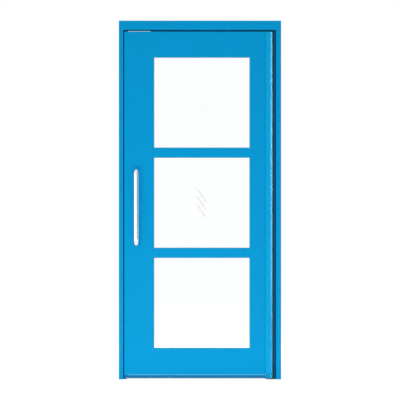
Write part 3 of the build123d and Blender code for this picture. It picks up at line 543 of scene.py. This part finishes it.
# Each slot of the record, or variant of one, with the name of the real surface and how it is drawn.
FINISHES: dict[str, tuple[str, Finish]] = {
    # The even satin blue of the whole door.
    "blue_coat": ("satin_powder_coat", PowderCoat()),
    # A smoother coat on the round nose, which carries the bright line beside the dark gap; its lighter
    # colour is painted light.
    "blue_coat_nose_painted_lighter": (
        "smooth_powder_coat_painted_lighter_on_nose",
        PowderCoat("#0FA1DD", "#0F9ED9", 0.25, 0.24, "#3CFFFF", peel_height_mm=0.0015),
    ),
    # A nearly white tube, and its bolts, whose highlights stretch across the grinding lines.
    "handle_steel": (
        "ground_stainless_steel",
        DrawnMetal("#DDE0E3", "#F0F2F4", 0.13, Grain.ALONG_Z, anisotropy=0.3),
    ),
    # Small light grey heads and spigots.
    "fixing_steel": ("zinc_plated_steel", DrawnMetal("#A9ADB2", "#C6C9CC", 0.32, Grain.NONE)),
    # A darker, duller plate under the foot.
    "pivot_steel": ("ground_carbon_steel", DrawnMetal("#62666B", "#7C8085", 0.42, Grain.ALONG_X)),
    # The thin light bar over the lock stile.
    "plated_steel": ("nickel_plated_steel", DrawnMetal("#98C0D6", "#B0D4E8", 0.30, Grain.ALONG_X)),
    # A warm ring round the pivot pin.
    "bearing_bronze": ("sintered_bronze", DrawnMetal("#9C7A45", "#B8965E", 0.35, Grain.NONE)),
    # A dull housing with broad drawing lines.
    "closer_metal": (
        "mill_finish_aluminium",
        DrawnMetal("#9A9DA1", "#AEB1B5", 0.45, Grain.ALONG_X, line_mm=1.6),
    ),
    # A blue anodised lip along the foot of the leaf, its light tone a painted highlight, over a clamp
    # darkened with painted shadow.
    "brush_holder": (
        "blue_anodised_aluminium_painted_highlight_and_shadow",
        DrawnMetal("#3AA4D8", "#46B2E4", 0.38, Grain.ALONG_X, below="#1F7AA5", painted_shadow_below_mm=25.0),
    ),
    # Nearly black lines inside the stops and behind the panes.
    "black_rubber": ("extruded_epdm", MouldedPolymer("#141A21", "#1D252E", 0.72)),
    # Black seal beside the nose, tinted dark blue as painted reflection of the blue coat around it.
    "black_rubber_painted_blue_reflection": ("extruded_epdm_with_painted_blue_reflection", MouldedPolymer("#0E4C6C", "#145679", 0.7, 0.12)),
    # A faint line round the front of each pane.
    "blue_grey_rubber": ("grey_extruded_epdm", MouldedPolymer("#7AAAC2", "#84B2C8", 0.7, 0.12)),
    # Face of the magnet in the gap over the leaf, coloured dark blue as painted shade of the gap.
    "magnet_resin": ("magnet_face_with_painted_gap_shade", MouldedPolymer("#0E3C55", "#124764", 0.6, 0.1)),
    # Arm and spindle in the same gap, coloured dark blue as painted shade.
    "painted_gap_shade_steel": ("steel_with_painted_gap_shade", DrawnMetal("#12313F", "#1B3F50", 0.5, Grain.ALONG_Z)),
    # Blocks hidden under the panes.
    "block_plastic": ("moulded_polypropylene", MouldedPolymer("#1F2124", "#292C30", 0.6)),
    # The matt tray under the armature.
    "tray_plastic": ("moulded_polyamide", MouldedPolymer("#121417", "#1B1E22", 0.55)),
    # Streaky blue filaments.
    "brush_fibre": ("crimped_nylon_filament", BrushFibre()),
    # Panes that only their edges show.
    "clear_glass": ("laminated_glass", LaminatedGlass()),
}

# Nodes that differ from their slot. What stands in the gap above the leaf is coloured dark blue as painted
# shade of that gap. The gaskets on the front of the panes show only as a faint line, so they are grey.
OWN_FINISHES = {
    "closer_spindle": "painted_gap_shade_steel",
    "top_pivot_arm": "painted_gap_shade_steel",
    "lock_magnet": "magnet_resin",
    **{f"{pane}_outer_gasket": "blue_grey_rubber" for pane in ("lower", "middle", "upper")},
}


# Surfaces


def rounded_outline(corners: Array, radii: Array, steps: int) -> Array:
    """Closed outline whose corners are arcs.

    At a corner of half angle h the arc of radius r starts r / tan(h) along each side, and its points turn
    evenly from the first side to the second about a centre r / sin(h) along the bisector.

    Args:
        corners: Corner points, shape (n, 2), in order round the outline.
        radii: Radius at each corner, shape (n,), all above zero.
        steps: Points on each arc.

    Returns:
        Points of the outline, shape (n * steps, 2).
    """
    sides = np.stack([np.roll(corners, 1, axis=0), np.roll(corners, -1, axis=0)]) - corners
    sides = sides / np.linalg.norm(sides, axis=2, keepdims=True)
    half = 0.5 * np.arccos(np.clip(np.sum(sides[0] * sides[1], axis=1), -1.0, 1.0))
    bisector = np.sum(sides, axis=0)
    bisector = bisector / np.linalg.norm(bisector, axis=1, keepdims=True)
    centre = corners + bisector * (radii / np.sin(half))[:, None]
    first, last = (corners + sides * (radii / np.tan(half))[:, None] - centre)[:, :, None, :]
    turn = (math.pi - 2.0 * half)[:, None, None]
    share = np.linspace(0.0, 1.0, steps)[None, :, None]
    arc = (np.sin((1.0 - share) * turn) * first + np.sin(share * turn) * last) / np.sin(turn)
    return (centre[:, None, :] + arc).reshape(-1, 2)


def upright(levels: Array) -> Array:
    """Stations of a path that rises along Z through the given levels, shape (n, 3)."""
    return levels[:, None] * Z_AXIS


def carry(profile: Array, origins: Array, across: Array, up: Array) -> Array:
    """Carry a profile along a path: point (i, j) is origin i + x of j times across i + y of j times up i.

    Args:
        profile: Profile points, shape (m, 2), or one profile for each station, shape (n, m, 2).
        origins: Stations of the path, shape (n, 3).
        across: Direction of the profile's x at each station, shape (n, 3) or (3,).
        up: Direction of the profile's y at each station, shape (n, 3) or (3,).

    Returns:
        Grid of points, shape (n, m, 3).
    """
    count = len(origins)
    profiles = np.broadcast_to(profile, (count, *profile.shape[-2:]))
    across = np.broadcast_to(across, (count, 3))
    up = np.broadcast_to(up, (count, 3))
    x, y = profiles[..., 0:1], profiles[..., 1:2]
    return origins[:, None, :] + x * across[:, None, :] + y * up[:, None, :]


def ring(radius: Array | float, segments: int) -> Array:
    """Circle of points, or one circle for each radius: radius times the cosine and sine of even angles.

    Args:
        radius: One radius, or an array of them of shape (n,).
        segments: Points on the circle.

    Returns:
        Points, shape (segments, 2) or (n, segments, 2).
    """
    angle = np.linspace(0.0, 2.0 * math.pi, segments, endpoint=False)
    circle = np.stack([np.cos(angle), np.sin(angle)], axis=-1)
    return np.asarray(radius)[..., None, None] * circle


@dataclass
class Shell:
    """Grids and caps that are gathered in millimetres and made into one mesh in metres."""

    points: list[Array] = field(default_factory=list)
    corners: list[Array] = field(default_factory=list)
    sizes: list[Array] = field(default_factory=list)
    count: int = 0

    def add_points(self, points: Array) -> Array:
        """Store points.

        Args:
            points: Points of any shape that ends in 3.

        Returns:
            Their indices, of the same shape without the 3.
        """
        flat = points.reshape(-1, 3)
        index = np.arange(self.count, self.count + len(flat)).reshape(points.shape[:-1])
        self.points.append(flat)
        self.count += len(flat)
        return index

    def add_faces(self, faces: Array) -> None:
        """Store faces that all have the same number of corners.

        Args:
            faces: Indices, shape (n, corners of a face).
        """
        self.corners.append(faces.reshape(-1))
        self.sizes.append(np.full(len(faces), faces.shape[1]))

    def add_tube(self, grid: Array, caps: bool = True) -> Array:
        """Store a grid that closes round its second direction, with a flat cap at each end.

        Args:
            grid: Points, shape (stations, round, 3).
            caps: Whether the ends are closed.

        Returns:
            The indices of the grid.
        """
        index = self.add_points(grid)
        closed = np.concatenate([index, index[:, :1]], axis=1)
        quads = np.stack([closed[:-1, :-1], closed[:-1, 1:], closed[1:, 1:], closed[1:, :-1]], axis=-1)
        self.add_faces(quads.reshape(-1, 4))
        if caps:
            self.add_faces(index[:1, ::-1])
            self.add_faces(index[-1:, :])
        return index

    def add_pipe(self, outer: Array, inner: Array) -> None:
        """Store an outer and an inner wall of the same shape, joined by a flat rim at each end.

        Args:
            outer: Points, shape (stations, round, 3).
            inner: Points, shape (stations, round, 3).
        """
        outside = self.add_tube(outer, caps=False)
        inside = self.add_tube(inner[::-1], caps=False)[::-1]
        for rim_out, rim_in in ((outside[0], inside[0]), (inside[-1], outside[-1])):
            a = np.append(rim_out, rim_out[0])
            b = np.append(rim_in, rim_in[0])
            self.add_faces(np.stack([a[:-1], b[:-1], b[1:], a[1:]], axis=-1))

    def outward(self, points: Array, corners: Array, starts: Array, sizes: Array) -> Array:
        """Turn all faces round if they point inwards.

        The volume is the sum over the triangles of each face's fan of a . (b x c) / 6, and it is below zero
        if the faces point inwards.

        Args:
            points: All points, shape (n, 3).
            corners: Indices of all faces in a row.
            starts: Place of each face's first corner in that row.
            sizes: Number of corners of each face.

        Returns:
            The indices in the order that makes the faces point outwards.
        """
        at = np.arange(len(corners))
        first = np.repeat(starts, sizes)
        last = np.repeat(starts + sizes - 1, sizes)
        fan = at[(at > first) & (at < last)]
        a, b, c = points[corners[first[fan]]], points[corners[fan]], points[corners[fan + 1]]
        volume = np.sum(a * np.cross(b, c)) / 6.0
        return corners[first + last - at] if volume < 0.0 else corners

    def build(self, name: str, sharp_degrees: float = 35.0) -> Piece:
        """Make the mesh object, with its faces outwards and its edges sharp above an angle.

        Args:
            name: Name of the object.
            sharp_degrees: Angle between two faces above which their edge is sharp.

        Returns:
            The object, linked to the scene.
        """
        points = np.concatenate(self.points)
        sizes = np.concatenate(self.sizes)
        starts = np.cumsum(sizes) - sizes
        corners = self.outward(points, np.concatenate(self.corners), starts, sizes)
        mesh = bpy.data.meshes.new(name)
        mesh.vertices.add(len(points))
        mesh.vertices.foreach_set("co", (points * MM).astype(np.float32).ravel())
        mesh.loops.add(len(corners))
        mesh.loops.foreach_set("vertex_index", corners.astype(np.int32))
        mesh.polygons.add(len(sizes))
        mesh.polygons.foreach_set("loop_start", starts.astype(np.int32))
        mesh.polygons.foreach_set("loop_total", sizes.astype(np.int32))
        mesh.update(calc_edges=True)
        mesh.validate()
        mesh.shade_smooth()
        mesh.set_sharp_from_angle(angle=math.radians(sharp_degrees))
        piece = bpy.data.objects.new(name, mesh)
        bpy.context.collection.objects.link(piece)
        return piece


def node_box(node: str) -> tuple[Array, Array]:
    """Lowest and highest corner of a CAD node, in millimetres."""
    low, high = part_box(node)
    return np.array(low) / MM, np.array(high) / MM


@dataclass
class Wardrobe:
    """Makes each finish once and puts it on pieces and CAD nodes."""

    made: dict[str, bpy.types.Material] = field(default_factory=dict)

    def material(self, slot: str) -> bpy.types.Material:
        """Material of a slot.

        Args:
            slot: Name of the record's material slot, or of a variant of it.

        Returns:
            The material.
        """
        if slot not in self.made:
            surface, finish = FINISHES[slot]
            self.made[slot] = finish.make(surface)
        return self.made[slot]

    def dress(self, piece: Piece, material: bpy.types.Material) -> None:
        """Put one material on a piece or a CAD node.

        Args:
            piece: The piece or node.
            material: The material.
        """
        if not piece.material_slots:
            piece.data.materials.append(material)
        for place in piece.material_slots:
            place.material = material

    def dress_nodes(self, nodes: dict[str, Piece], subparts: list[dict[str, object]]) -> None:
        """Put the finish of its slot, or its own, on every CAD node.

        Args:
            nodes: CAD nodes by name.
            subparts: Rows of the record, which give each node's slot.
        """
        for part in subparts:
            node = part["node"]
            self.dress(nodes[node], self.material(OWN_FINISHES.get(node, part["material_slot"])))
        LOG.info("dressed %d nodes", len(subparts))

    def finish_piece(self, piece: Piece, body: Body, slot: str, replaced: str, variant: str = "") -> None:
        """Dress a new piece and tie it to its body.

        Args:
            piece: The new piece.
            body: Body that it rides on.
            slot: Record's material slot.
            replaced: CAD node that it stands for.
            variant: Finish of this piece where it differs from the slot's own.
        """
        self.dress(piece, self.material(variant or slot))
        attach(piece, body.value)
        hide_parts(replaced)
        LOG.info("%s: %d faces on %s, %s", piece.name, len(piece.data.polygons), body.value, slot)


# Sub-assemblies


@dataclass
class HingeEdge:
    """Half-round nose of the leaf and the foot below it, both turned about the pivot axis."""

    wardrobe: Wardrobe
    thickness: float = 50.0
    arc_steps: int = 24
    nose_flat: float = 20.6
    edge_radius: float = 2.0
    reveal_width: float = 1.2
    reveal_depth: float = 6.0
    reveal_radius: float = 0.3
    wall: float = 2.5
    wall_radius: float = 0.5
    rim_inset: float = 0.5
    rim_rise: float = 0.6
    foot_flat: float = 16.5
    foot_radius: float = 3.0
    foot_bottom: float = 4.7
    foot_top: float = 30.5
    foot_arris: float = 0.5
    toe: float = 4.0
    toe_steps: int = 8
    neck_inset: float = 5.0
    plug_inset: float = 4.0
    plug_rise: float = 20.0

    def outline(self, pivot_x: float, flat: float, inset: float, corner: float, steps: int) -> Array:
        """Outline with a flat side towards the stile and a half circle on the other side.

        Args:
            pivot_x: X of the pivot axis.
            flat: Distance from the axis to the flat side.
            inset: Distance inwards from the outer surface.
            corner: Radius of the two corners of the flat side.
            steps: Points on each arc.

        Returns:
            Points in X and Y, shape (4 * steps, 2).
        """
        arc = self.thickness / 2 - inset
        left, right = pivot_x - flat + inset, pivot_x + arc
        front, back = inset, self.thickness - inset
        corners = np.array([[left, front], [right, front], [right, back], [left, back]])
        return rounded_outline(corners, np.array([corner, arc - HAIR, arc - HAIR, corner]), steps)

    def nose_outline(self, pivot_x: float, inset: float) -> Array:
        """Outline of the nose, with a narrow rebate beside the stile that shows as a shadow line.

        Args:
            pivot_x: X of the pivot axis.
            inset: Distance inwards from the outer surface.

        Returns:
            Points in X and Y, shape (8 * arc_steps, 2).
        """
        arc = self.thickness / 2 - inset
        left = pivot_x - self.nose_flat + inset
        step = left + self.reveal_width
        near = self.reveal_depth + inset
        front = np.array([[left, near], [step, near], [step, inset], [pivot_x + arc, inset]])
        back = front[::-1] * (1.0, -1.0) + (0.0, self.thickness)
        radii = np.array([self.reveal_radius, self.reveal_radius, self.edge_radius, arc - HAIR])
        radii = np.concatenate([radii, radii[::-1]])
        return rounded_outline(np.concatenate([front, back]), radii, self.arc_steps)

    def nose(self) -> None:
        """Hollow nose: the outline carried up, with a wall, and open ends whose rims are eased."""
        low, high = node_box("nose_profile")
        pivot_x = high[0] - self.thickness / 2
        levels = np.array([low[2], low[2] + self.rim_rise, high[2] - self.rim_rise, high[2]])
        rims = (self.rim_inset, 0.0, 0.0, self.rim_inset)
        outer = np.stack([self.nose_outline(pivot_x, inset) for inset in rims])
        # The inner outline has half the corners, so its arcs have twice the points, and it is turned round
        # until it starts where the outer one does.
        flat = self.nose_flat - self.reveal_width
        inner = self.outline(pivot_x, flat, self.wall, self.wall_radius, 2 * self.arc_steps)
        inner = np.roll(inner, self.arc_steps, axis=0)
        stations = upright(levels)
        shell = Shell()
        shell.add_pipe(carry(outer, stations, X_AXIS, Y_AXIS), carry(inner, stations, X_AXIS, Y_AXIS))
        # The nose's coat is a lighter copy of the door's blue: painted light.
        self.wardrobe.finish_piece(
            shell.build("nose_shell"), Body.LEAF, "blue_coat", "nose_profile", "blue_coat_nose_painted_lighter"
        )

    def foot(self) -> None:
        """Foot under the nose: a rounded toe, a neck in the joint line and a plug above it.

        At angle a the toe's outline stands toe times (1 - sin a) inwards at toe times (1 - cos a) up.
        """
        pivot_x = node_box("bottom_pivot_shoe")[1][0] - self.thickness / 2
        nose_bottom = node_box("nose_profile")[0][2]
        angle = np.linspace(0.0, math.pi / 2, self.toe_steps)
        toe_levels = self.foot_bottom + self.toe * (1.0 - np.cos(angle))
        toe_insets = self.toe * (1.0 - np.sin(angle))
        above = [
            [self.foot_top - self.foot_arris, 0.0],
            [self.foot_top, self.foot_arris],
            [self.foot_top, self.neck_inset],
            [nose_bottom, self.neck_inset],
            [nose_bottom, self.plug_inset],
            [nose_bottom + self.plug_rise, self.plug_inset],
        ]
        levels, insets = np.concatenate([np.stack([toe_levels, toe_insets], axis=1), above]).T
        flat, corner = self.foot_flat, self.foot_radius
        outlines = np.stack([self.outline(pivot_x, flat, inset, corner, self.arc_steps) for inset in insets])
        shell = Shell()
        shell.add_tube(carry(outlines, upright(levels), X_AXIS, Y_AXIS))
        self.wardrobe.finish_piece(shell.build("nose_foot"), Body.LEAF, "blue_coat", "bottom_pivot_shoe")


@dataclass
class PullHandle:
    """Bent tube handle in front of the lock stile, with its domed bolts behind it."""

    wardrobe: Wardrobe
    bend: float = 32.0
    bend_steps: int = 20
    tube_segments: int = 56
    tube_sharp_degrees: float = 50.0
    arris: float = 1.2
    weld_rise: float = 3.0
    bolt_diameter: float = 10.0
    bolt_segments: int = 40
    dome_height: float = 6.0
    dome_edge: float = 1.2
    dome_turn_degrees: float = 88.2
    dome_steps: int = 12

    def tube(self) -> None:
        """Circle carried along the bent centre line, drawn in a little where it meets the leaf."""
        low, high = node_box("pull_handle")
        radius = (high[0] - low[0]) / 2
        reach = low[1] + radius
        bottom, top = low[2] + radius, high[2] - radius
        corners = np.array([[0.0, bottom], [reach, bottom], [reach, top], [0.0, top]])
        arcs = rounded_outline(corners, np.full(4, self.bend), self.bend_steps)
        arcs = arcs.reshape(4, self.bend_steps, 2)
        # The arcs at the two corners on the leaf give way to straight ends, square to it.
        end = np.array([0.0, -self.arris, -self.weld_rise])
        straight = len(end)
        lower, upper = (np.insert(end[:, None], 1, level, axis=1) for level in (bottom, top))
        path = np.concatenate([lower, arcs[1], arcs[2], upper[::-1]])
        run = np.gradient(path, axis=0)
        run = run / np.linalg.norm(run, axis=1, keepdims=True)
        run[:straight] = (-1.0, 0.0)
        run[-straight:] = (1.0, 0.0)
        origins = np.insert(path, 0, (low[0] + high[0]) / 2, axis=1)
        side = np.stack([np.zeros(len(path)), -run[:, 1], run[:, 0]], axis=1)
        radii = np.full(len(path), radius)
        radii[[0, -1]] -= self.arris
        shell = Shell()
        shell.add_tube(carry(ring(radii, self.tube_segments), origins, X_AXIS, side))
        self.wardrobe.finish_piece(
            shell.build("handle_tube", self.tube_sharp_degrees), Body.LEAF, "handle_steel", "pull_handle"
        )

    def bolts(self) -> None:
        """Shanks with domed heads.

        At angle a a dome is the head's half width times cos a wide, and rises by its height times sin a.
        """
        low, high = node_box("handle_bolts")
        radius = (high[0] - low[0]) / 2
        shank = self.bolt_diameter / 2
        base = high[1] - self.dome_height
        angle = np.linspace(0.0, math.radians(self.dome_turn_degrees), self.dome_steps)
        dome = base + self.dome_edge + (self.dome_height - self.dome_edge) * np.sin(angle)
        depths = np.concatenate([[low[1], base, base], dome])
        radii = np.concatenate([[shank, shank, radius], radius * np.cos(angle)])
        shell = Shell()
        for level in (low[2] + radius, high[2] - radius):
            origins = depths[:, None] * Y_AXIS + ((low[0] + high[0]) / 2, 0.0, level)
            shell.add_tube(carry(ring(radii, self.bolt_segments), origins, X_AXIS, Z_AXIS))
        caps = shell.build("handle_bolt_caps")
        self.wardrobe.finish_piece(caps, Body.LEAF, "handle_steel", "handle_bolts")


@dataclass
class GapSeal:
    """Extruded rubber seal beside the nose: a back held by the jamb, ribs and a curved lip."""

    wardrobe: Wardrobe
    foot_depth: float = 3.8
    back_edge: float = 0.4
    back_radii: tuple[float, float] = (0.2, 0.3)
    rib: float = 1.1
    lip: float = 1.0
    arc_steps: int = 5
    # Turns of the ribs: share of the seal's width from the jamb, depth in ribs, and radius.
    rib_turns: tuple[Triple, ...] = (
        (0.16, 0.0, 0.9),
        (0.24, 1.6, 0.5),
        (0.38, 0.4, 0.9),
        (0.46, 2.0, 0.5),
        (0.60, 0.9, 0.9),
        (0.68, 2.6, 0.6),
    )
    # Turns of the lip: distances from its tip and from the shoulder, both in lips, and radius.
    lip_turns: tuple[Triple, ...] = ((0.0, 3.4, 0.4), (0.0, 1.4, 0.4), (1.8, 0.0, 0.4))

    def build(self) -> None:
        """Profile from the wall of the jamb across the ribs to the tip of the lip, carried up."""
        low, high = node_box("hinge_gap_seal")
        left, front = low[:2]
        right = high[0]
        shoulder = high[1] - self.foot_depth
        back = np.array([[right, shoulder], [right, front + self.back_edge]])
        share, depth, rib_radii = np.array(self.rib_turns).T
        ribs = np.stack([right - (right - left) * share, front + self.rib * depth], axis=1)
        out, down, lip_radii = np.array(self.lip_turns).T
        lip = np.stack([left + self.lip * out, shoulder - self.lip * down], axis=1)
        radii = np.concatenate([self.back_radii, rib_radii, lip_radii])
        outline = rounded_outline(np.concatenate([back, ribs, lip]), radii, self.arc_steps)
        shell = Shell()
        shell.add_tube(carry(outline, upright(np.array([low[2], high[2]])), X_AXIS, Y_AXIS))
        # The seal's blue tint is painted reflection of the coat.
        self.wardrobe.finish_piece(
            shell.build("ribbed_gap_seal"), Body.FRAME, "black_rubber", "hinge_gap_seal", "black_rubber_painted_blue_reflection"
        )


@dataclass
class FootBrush:
    """Filaments of the brush under the leaf, bound by the holder and cut off above the floor."""

    wardrobe: Wardrobe
    pitch: float = 0.75
    rows: int = 6
    sides: int = 3
    root: float = 0.36
    tip: float = 0.26
    end_margin: float = 1.0
    side_margin: float = 0.5
    tip_margin: float = 0.3
    pitch_share: float = 0.2
    row_scatter: float = 0.15
    lean: float = 0.7
    side_share: float = 0.5
    uneven_cut: float = 0.5
    sharp_degrees: float = 80.0
    seed: int = 11

    def build(self) -> None:
        """Filaments in staggered rows, each a ring at the root joined to a smaller one at the tip.

        A root is scattered about its place in the row, and its tip drifts away from it by a normal draw that
        is cut off at the lean.
        """
        low, high = node_box("bottom_brush")
        width, depth = (high - low)[:2] - (2 * self.end_margin, 2 * self.side_margin)
        per_row = int(width / self.pitch)
        total = per_row * self.rows
        draw = np.random.default_rng(self.seed)
        column = np.tile(np.arange(per_row), self.rows)
        row = np.repeat(np.arange(self.rows), per_row)
        along = column + 0.5 * (row % 2) + draw.uniform(-self.pitch_share, self.pitch_share, total)
        across = depth * (row + 0.5) / self.rows + draw.uniform(-self.row_scatter, self.row_scatter, total)
        drift = draw.normal(0.0, self.lean / 2, (total, 2)).clip(-self.lean, self.lean)
        cut = low[2] + draw.uniform(0.0, self.uneven_cut, total)
        roots = low[:2] + np.stack([self.end_margin + along * self.pitch, self.side_margin + across], axis=1)
        tips = (roots + drift * (1.0, self.side_share)).clip(
            low[:2] + self.tip_margin, high[:2] - self.tip_margin
        )
        roots, tips = np.insert(roots, 2, high[2], axis=1), np.insert(tips, 2, cut, axis=1)
        shell = Shell()
        upper = shell.add_points(carry(ring(self.root, self.sides), roots, X_AXIS, Y_AXIS))
        lower = shell.add_points(carry(ring(self.tip, self.sides), tips, X_AXIS, Y_AXIS))
        quads = np.stack([upper, lower, np.roll(lower, -1, axis=1), np.roll(upper, -1, axis=1)], axis=-1)
        shell.add_faces(quads.reshape(-1, 4))
        shell.add_faces(lower[:, ::-1])
        shell.add_faces(upper)
        brush = shell.build("brush_filaments", self.sharp_degrees)
        shade = np.repeat(draw.uniform(0.0, 1.0, total), self.sides)
        layer = brush.data.attributes.new(BrushFibre.shade_attribute, "FLOAT", "POINT")
        layer.data.foreach_set("value", np.tile(shade, 2).astype(np.float32))
        self.wardrobe.finish_piece(brush, Body.LEAF, "brush_fibre", "bottom_brush")


@dataclass
class Glazing:
    """Painted reflection strokes on two panes, whose glass is the frame's own nodes.

    Each has parallel strokes, one step below the other: 57 mm across and 84 mm down on the middle pane, and
    46 mm across and 60 mm down, but fainter, on the upper one.
    """

    wardrobe: Wardrobe
    strokes: int = 3
    middle_stroke: PaintedReflectionStroke = PaintedReflectionStroke(-20.0, 1178.0, 37.0, 1094.0)
    middle_step: float = 49.5
    middle_share: float = 0.15
    upper_stroke: PaintedReflectionStroke = PaintedReflectionStroke(-7.0, 1746.0, 39.0, 1686.0)
    upper_step: float = 40.0
    upper_share: float = 0.03

    def dress(self, nodes: dict[str, Piece]) -> None:
        """Give the marked panes their own variants of the glass.

        Args:
            nodes: CAD nodes by name.
        """
        for node, stroke, step, share in (
            ("middle_glass", self.middle_stroke, self.middle_step, self.middle_share),
            ("upper_glass", self.upper_stroke, self.upper_step, self.upper_share),
        ):
            # The strokes are painted reflections: a grey matt tone mixed into the glass.
            strokes = tuple(stroke.lowered(i * step) for i in range(self.strokes))
            glass = LaminatedGlass(painted_reflection_share=share, strokes=strokes)
            self.wardrobe.dress(nodes[node], glass.make(f"laminated_glass_with_strokes_{node}"))
            LOG.info("%s: %d painted_reflection strokes", node, len(strokes))


# Studio


@dataclass(frozen=True)
class Lamp:
    """Soft rectangular lamp; places and sizes are in metres."""

    name: str
    place: Triple
    aim: Triple
    size: tuple[float, float]
    watts: float
    spread_degrees: float = 180.0
    only_on: tuple[str, ...] = ()

    def build(self) -> None:
        """Add the lamp, unseen by the camera and through glass.

        A lamp that is kept to some pieces, like a flagged lamp in a studio, shows only in their gloss. Every
        other lamp only lights surfaces.
        """
        data = bpy.data.lights.new(self.name, "AREA")
        data.shape = "RECTANGLE"
        data.size, data.size_y = self.size
        data.energy = self.watts
        data.spread = math.radians(self.spread_degrees)
        lamp = bpy.data.objects.new(self.name, data)
        lamp.location = self.place
        towards = Vector(self.aim) - Vector(self.place)
        lamp.rotation_euler = towards.to_track_quat("-Z", "Y").to_euler()
        lamp.visible_camera = False
        lamp.visible_transmission = False
        lamp.visible_diffuse = not self.only_on
        lamp.visible_glossy = bool(self.only_on)
        if self.only_on:
            pieces = bpy.data.collections.new(f"{self.name}_pieces")
            for name in self.only_on:
                pieces.objects.link(bpy.data.objects[name])
            lamp.light_linking.receiver_collection = pieces
            lamp.light_linking.blocker_collection = pieces
        bpy.context.collection.objects.link(lamp)


DOOR_MIDDLE = (0.0, 0.0, 1.1)
NOSE_PIECES = ("nose_shell", "nose_foot")
LAMPS = (
    # Whitens the floor in front of the leaf.
    Lamp("floor_wash", (0.0, -0.22, 0.5), (0.0, -0.22, 0.0), (2.2, 0.15), 1.4, spread_degrees=40.0),
    # Fills the lower rail and the foot from the front.
    Lamp("low_fill", (-0.45, -2.8, 0.15), DOOR_MIDDLE, (2.4, 1.2), 51.5),
    # Lights the whole front from far out on the right.
    Lamp("right_key", (7.7, -2.4, 1.6), DOOR_MIDDLE, (1.6, 1.6), 84.0),
    # Wide strip behind on the right, for the bright line along the nose.
    Lamp("right_strip", (3.26, 1.03, 1.4), (0.44, 0.0, 1.4), (5.0, 2.3), 1150.0, only_on=NOSE_PIECES),
    # Strip in front on the left, for the white side of the handle.
    Lamp("left_strip", (-1.9, -1.3, 1.1), (-0.39, 0.0, 1.1), (3.0, 1.8), 26.0, only_on=("handle_tube",)),
    # Fills the inside of the door from behind.
    Lamp("rear_fill", (1.2, 5.0, 1.6), DOOR_MIDDLE, (3.0, 2.4), 60.0),
)


@dataclass
class Studio:
    """White room with soft lamps, and a long lens square on to the door."""

    distance_m: float = 20.0
    aim_height_m: float = 1.105
    view_width_m: float = 2.464
    clip_end_m: float = 120.0
    sensor_mm: float = 36.0
    ambient: float = 0.64
    grey_start: float = 0.32
    grey_full: float = 0.68
    grey_tone: str = "#94B4C8"
    floor_half_m: float = 14.0

    def room(self) -> None:
        """White background where it is seen, and a dimmer even light on surfaces.

        Gloss alone shows it grey on the right: a smooth step of the X of the direction, for rays of gloss
        that didn't pass through glass.
        """
        world = bpy.data.worlds.new("room")
        world.use_nodes = True
        bpy.context.scene.world = world
        tree = world.node_tree
        tree.nodes.clear()
        direction = add_node(tree, "TexCoord").outputs["Generated"]
        path = add_node(tree, "LightPath").outputs
        reflected = add_node(
            tree,
            "Math",
            {"operation": "GREATER_THAN"},
            {0: path["Is Glossy Ray"], 1: path["Is Transmission Ray"]},
        )
        grey = add_node(
            tree,
            "MapRange",
            {"interpolation_type": "SMOOTHSTEP"},
            {
                "Value": add_node(tree, "SeparateXYZ", inputs={0: direction}).outputs["X"],
                "From Min": self.grey_start,
                "From Max": self.grey_full,
                "To Max": reflected.outputs[0],
            },
        )
        colour = add_node(
            tree,
            "Mix",
            {"data_type": "RGBA"},
            {"Factor": grey.outputs[0], MIX_A: linear(WHITE), MIX_B: linear(self.grey_tone)},
        )
        light, seen = (
            add_node(tree, "Background", inputs={"Color": shown, "Strength": strength}).outputs[0]
            for shown, strength in ((linear(WHITE), self.ambient), (colour.outputs[MIX_RESULT], 1.0))
        )
        mixed = add_node(tree, "MixShader", inputs={0: ray_is_seen(tree), 1: light, 2: seen})
        add_node(tree, "OutputWorld", inputs={"Surface": mixed.outputs[0]})

    def floor(self) -> None:
        """Pale floor that blends with the background and keeps the door's shadow."""
        half = self.floor_half_m / MM
        corners = half * np.array([[-1.0, -1.0, 0.0], [1.0, -1.0, 0.0], [1.0, 1.0, 0.0], [-1.0, 1.0, 0.0]])
        shell = Shell()
        shell.add_faces(shell.add_points(corners)[None, :])
        floor = shell.build("studio_floor")
        floor.data.materials.append(PaleFloor().make("matt_floor_paint"))

    def camera(self) -> None:
        """Camera square on to the front; its lens takes in the view's width at the door's front face."""
        data = bpy.data.cameras.new("front_camera")
        data.sensor_width = self.sensor_mm
        data.lens = self.sensor_mm * self.distance_m / self.view_width_m
        data.clip_end = self.clip_end_m
        camera = bpy.data.objects.new("front_camera", data)
        camera.location = (0.0, -self.distance_m, self.aim_height_m)
        camera.rotation_euler = (math.pi / 2, 0.0, 0.0)
        bpy.context.collection.objects.link(camera)
        bpy.context.scene.camera = camera

    def build(self) -> None:
        """Set up the room, the floor, the lamps and the camera."""
        self.room()
        self.floor()
        for lamp in LAMPS:
            lamp.build()
        self.camera()
        bpy.context.scene.view_settings.view_transform = "Standard"


def main() -> None:
    """Load the frame, dress it, add the close-up surfaces and set up the studio."""
    logging.basicConfig(level=logging.INFO, format="%(name)s: %(message)s")
    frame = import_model()
    wardrobe = Wardrobe()
    wardrobe.dress_nodes(frame["nodes"], frame["record"]["subparts"])
    Glazing(wardrobe).dress(frame["nodes"])
    edge = HingeEdge(wardrobe)
    edge.nose()
    edge.foot()
    handle = PullHandle(wardrobe)
    handle.tube()
    handle.bolts()
    GapSeal(wardrobe).build()
    FootBrush(wardrobe).build()
    Studio().build()


if __name__ == "__main__":
    main()
